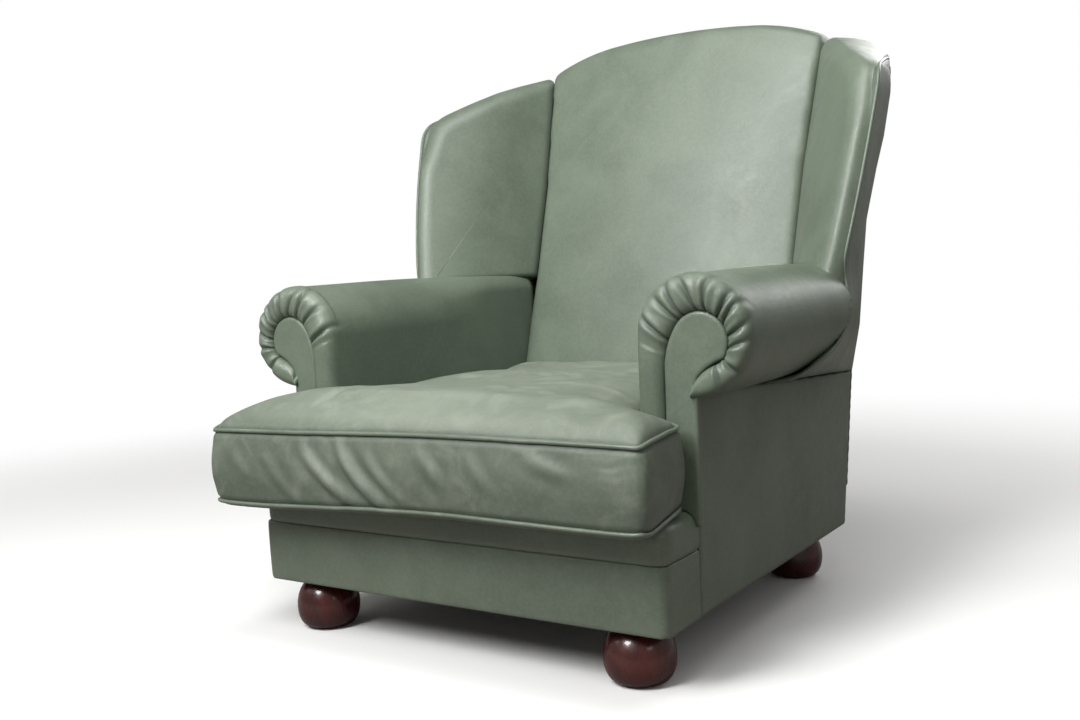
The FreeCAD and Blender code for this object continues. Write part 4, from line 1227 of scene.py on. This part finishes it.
def makeFoot(name, x, y):
    sizes = footSizes
    profile = sizes["profile"]
    bpy.ops.object.select_all(action="DESELECT")
    bpy.ops.mesh.primitive_circle_add(vertices=sizes["sides"], radius=profile[0][1], fill_type="NGON",
                                      location=(x, y, profile[0][0]))
    foot = bpy.context.active_object
    foot.name = name
    foot.data.name = name
    bpy.ops.object.mode_set(mode="EDIT")
    bpy.ops.mesh.select_all(action="SELECT")
    for (lowZ, lowRadius), (z, radius) in zip(profile, profile[1:]):
        bpy.ops.mesh.extrude_region_move(TRANSFORM_OT_translate={"value": (0, 0, z - lowZ)})
        bpy.ops.transform.resize(value=(radius / lowRadius, radius / lowRadius, 1))
    bpy.ops.mesh.select_all(action="SELECT")
    bpy.ops.mesh.normals_make_consistent(inside=False)
    bpy.ops.object.mode_set(mode="OBJECT")
    bpy.ops.object.transform_apply(location=True, rotation=True, scale=True)
    foot.select_set(False)
    return foot


for node in ("front_foot_right", "front_foot_left", "rear_foot_right", "rear_foot_left"):
    low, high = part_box(node)
    foot = makeFoot("bunFoot_" + node.replace("_foot", ""), (low.x + high.x) / 2, (low.y + high.y) / 2)
    finishPiece(foot, "chair", mahogany, [node])
print("feet made")

# Hidden soft pieces
deckPad = softened("deckPad", "deck_pad", 0.008, 3)
finishPiece(deckPad, "chair", foam, ["deck_pad"])
cushionFoam = softened("cushionFoam", "seat_cushion_core", 0.010, 3, -0.006)
points = sagged(getPoints(cushionFoam))
points[:, 2] = 0.246 + (points[:, 2] - 0.246) * 0.86
setPoints(cushionFoam, points)
finishPiece(cushionFoam, "seat_cushion", foam, ["seat_cushion_core"])
print("inner pads made")

clothSizes = {
    # piece: node, body, slot, flat size, area, cuts along x and y, sag axis, sag, rests on
    "deckCloth": ("deck_cloth", "chair", "lining_cloth", (0.600, 0.501), None,
                  0.02, 0.02, 2, 0.0, ["deckPad"]),
    "dustCloth": ("dust_cloth", "chair", "lining_cloth", (0.724, 0.720), 0.5006,
                  0.02, 0.02, 2, -0.0045, ["front_seat_rail", "back_seat_rail"]),
    "seatWebbing": ("seat_webbing", "chair", "webbing", (0.050, 8.556), None,
                    0.02, 0.02, 2, -0.0020, ["front_seat_rail", "back_seat_rail"]),
    "backWebbing": ("back_webbing", "chair", "webbing", (0.050, 3.580), None,
                    0.02, None, 1, 0.0025, ["back_post_right", "back_post_left"]),
    "zipTape": ("zip_tape", "seat_cushion", "zip_cloth", (0.025, 0.430), None,
                0.01, None, 1, 0.0, ["seatCushion"]),
}


def makeCloth(name, node, stepX, stepY, axis, sag):
    # The node's flat cloth, cut across at even steps so that it can hang and wrinkle a little
    piece = copyOfNode(name, node)
    low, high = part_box(node)
    work = bmesh.new()
    work.from_mesh(piece.data)
    for direction, step in ((0, stepX), (1, stepY)):
        if step is None:
            continue
        normal = Vector((0, 0, 0))
        normal[direction] = 1
        for place in np.arange(low[direction] + step, high[direction] - step / 2, step):
            everything = work.verts[:] + work.edges[:] + work.faces[:]
            bmesh.ops.bisect_plane(work, geom=everything, dist=0.00001, plane_co=normal * float(place),
                                   plane_no=normal)
    work.to_mesh(piece.data)
    work.free()
    points = getPoints(piece)
    middle = np.cos(np.pi / 2 * np.clip(points[:, 0] / high.x, -1, 1))
    if stepY is not None:
        middle *= np.sin(np.pi * np.clip((points[:, 1] - low.y) / (high.y - low.y), 0, 1))
    wrinkle = 0.00025 * np.sin(points[:, 0] * 61 + 1) * np.cos(points[:, 1] * 47) * middle
    points[:, axis] += sag * middle + wrinkle
    setPoints(piece, points)
    turnOutwards(piece)
    return piece


for name, (node, body, slotName, flat, area, stepX, stepY, axis, sag, restsOn) in clothSizes.items():
    piece = makeCloth(name, node, stepX, stepY, axis, sag)
    finishPiece(piece, body, finishes[slotName], [node])
print("cloths and straps made")


# Floor, lights and camera
studio = {
    "floorTone": (0.86, 0.86, 0.85), "floorBounce": (0.22, 0.20, 0.185), "floorSize": 24.0,
    "fadeFrom": 1.2, "fadeTo": 3.0,
    "lights": {
        # name: place, aim, size, roll in degrees, power
        "keySoftbox": ((-0.22, -2.05, 2.25), (0.10, 0.30, 0.68), (0.75, 1.85), -22, 96),
        "topSoftbox": ((0.35, -0.55, 3.1), (0.0, 0.0, 0.5), (1.3, 1.3), 0, 40),
        "leftSoftbox": ((-2.4, -1.4, 2.0), (0.0, 0.0, 0.6), (1.4, 1.6), 0, 8),
        "rightSoftbox": ((2.6, -1.5, 1.9), (0.0, 0.2, 0.75), (1.0, 1.6), 0, 7),
        "rearSoftbox": ((0.7, 3.3, 2.3), (0.0, 0.3, 0.6), (2.0, 1.6), 0, 42),
    },
    "worldTone": (1.0, 0.985, 0.955), "worldStrength": 0.24,
}
cameraView = {
    "place": (1.0547188, -1.7428387, 0.5900049),
    "right": (0.8373728, 0.5448640, -0.0439317),
    "up": (-0.0093049, 0.0945640, 0.9954753),
    "ahead": (-0.5465530, 0.8331752, -0.0842553),
    "lens": 38.234, "sensor": 36.0,
}


def makeFloor():
    bpy.ops.object.select_all(action="DESELECT")
    bpy.ops.mesh.primitive_plane_add(size=studio["floorSize"], location=(0, 0, 0))
    floor = bpy.context.active_object
    floor.name = "studioFloor"
    material, tree, shader = newMaterial("paleFloor")
    cloud = addNode(tree, "ShaderNodeTexNoise", Scale=2.0, Detail=4.0)
    tree.links.new(objectPlace(tree), cloud.inputs["Vector"])
    pale = studio["floorTone"]
    toned = mixColour(tree, cloud.outputs["Fac"], (*pale, 1), tuple(v * 0.97 for v in pale) + (1,))
    rays = tree.nodes.new("ShaderNodeLightPath")
    # The floor throws less light back on the chair than its tone would
    tree.links.new(mixColour(tree, rays.outputs["Is Camera Ray"], (*studio["floorBounce"], 1), toned),
                   shader.inputs["Base Color"])
    shader.inputs["Roughness"].default_value = 0.7
    # Far from the chair the camera sees the floor fade into the white background
    distance = tree.nodes.new("ShaderNodeVectorMath")
    distance.operation = "LENGTH"
    tree.links.new(objectPlace(tree), distance.inputs[0])
    far = rangeNode(tree, distance.outputs["Value"], studio["fadeFrom"], studio["fadeTo"])
    glow = tree.nodes.new("ShaderNodeEmission")
    glow.inputs["Color"].default_value = (1, 1, 1, 1)
    mixed = tree.nodes.new("ShaderNodeMixShader")
    tree.links.new(mathNode(tree, "MULTIPLY", far, rays.outputs["Is Camera Ray"]), mixed.inputs[0])
    tree.links.new(shader.outputs[0], mixed.inputs[1])
    tree.links.new(glow.outputs[0], mixed.inputs[2])
    tree.links.new(mixed.outputs[0], tree.nodes["Material Output"].inputs["Surface"])
    floor.data.materials.append(material)


def makeLight(name, place, aim, size, roll, power):
    data = bpy.data.lights.new(name, "AREA")
    data.shape = "RECTANGLE"
    data.size, data.size_y = size
    data.energy = power
    lamp = bpy.data.objects.new(name, data)
    aimed = (Vector(aim) - Vector(place)).to_track_quat("-Z", "Y")
    lamp.matrix_world = Matrix.Translation(place) @ aimed.to_matrix().to_4x4() @ Matrix.Rotation(
        math.radians(roll), 4, "Z")
    bpy.context.scene.collection.objects.link(lamp)


def makeWorld():
    world = bpy.data.worlds.new("studioWorld")
    bpy.context.scene.world = world
    world.use_nodes = True
    tree = world.node_tree
    background = tree.nodes["Background"]
    rays = tree.nodes.new("ShaderNodeLightPath")
    seen = mathNode(tree, "MAXIMUM", rays.outputs["Is Camera Ray"], rays.outputs["Is Transmission Ray"])
    tone = mixColour(tree, seen, (*studio["worldTone"], 1), (1.0, 1.0, 1.0, 1))
    tree.links.new(tone, background.inputs["Color"])
    strength = studio["worldStrength"]
    shown = mathNode(tree, "MULTIPLY_ADD", seen, 1.0 - strength, strength)
    tree.links.new(shown, background.inputs["Strength"])


def makeCamera():
    data = bpy.data.cameras.new("photoCamera")
    data.lens = cameraView["lens"]
    data.sensor_width = cameraView["sensor"]
    camera = bpy.data.objects.new("photoCamera", data)
    right, up, ahead = (Vector(cameraView[key]) for key in ("right", "up", "ahead"))
    turned = Matrix((right, up, -ahead)).transposed().to_4x4()
    turned.translation = Vector(cameraView["place"])
    camera.matrix_world = turned
    bpy.context.scene.collection.objects.link(camera)
    bpy.context.scene.camera = camera


makeFloor()
for name, values in studio["lights"].items():
    makeLight(name, *values)
makeWorld()
makeCamera()
bpy.context.scene.view_settings.view_transform = "Standard"
print("studio made")
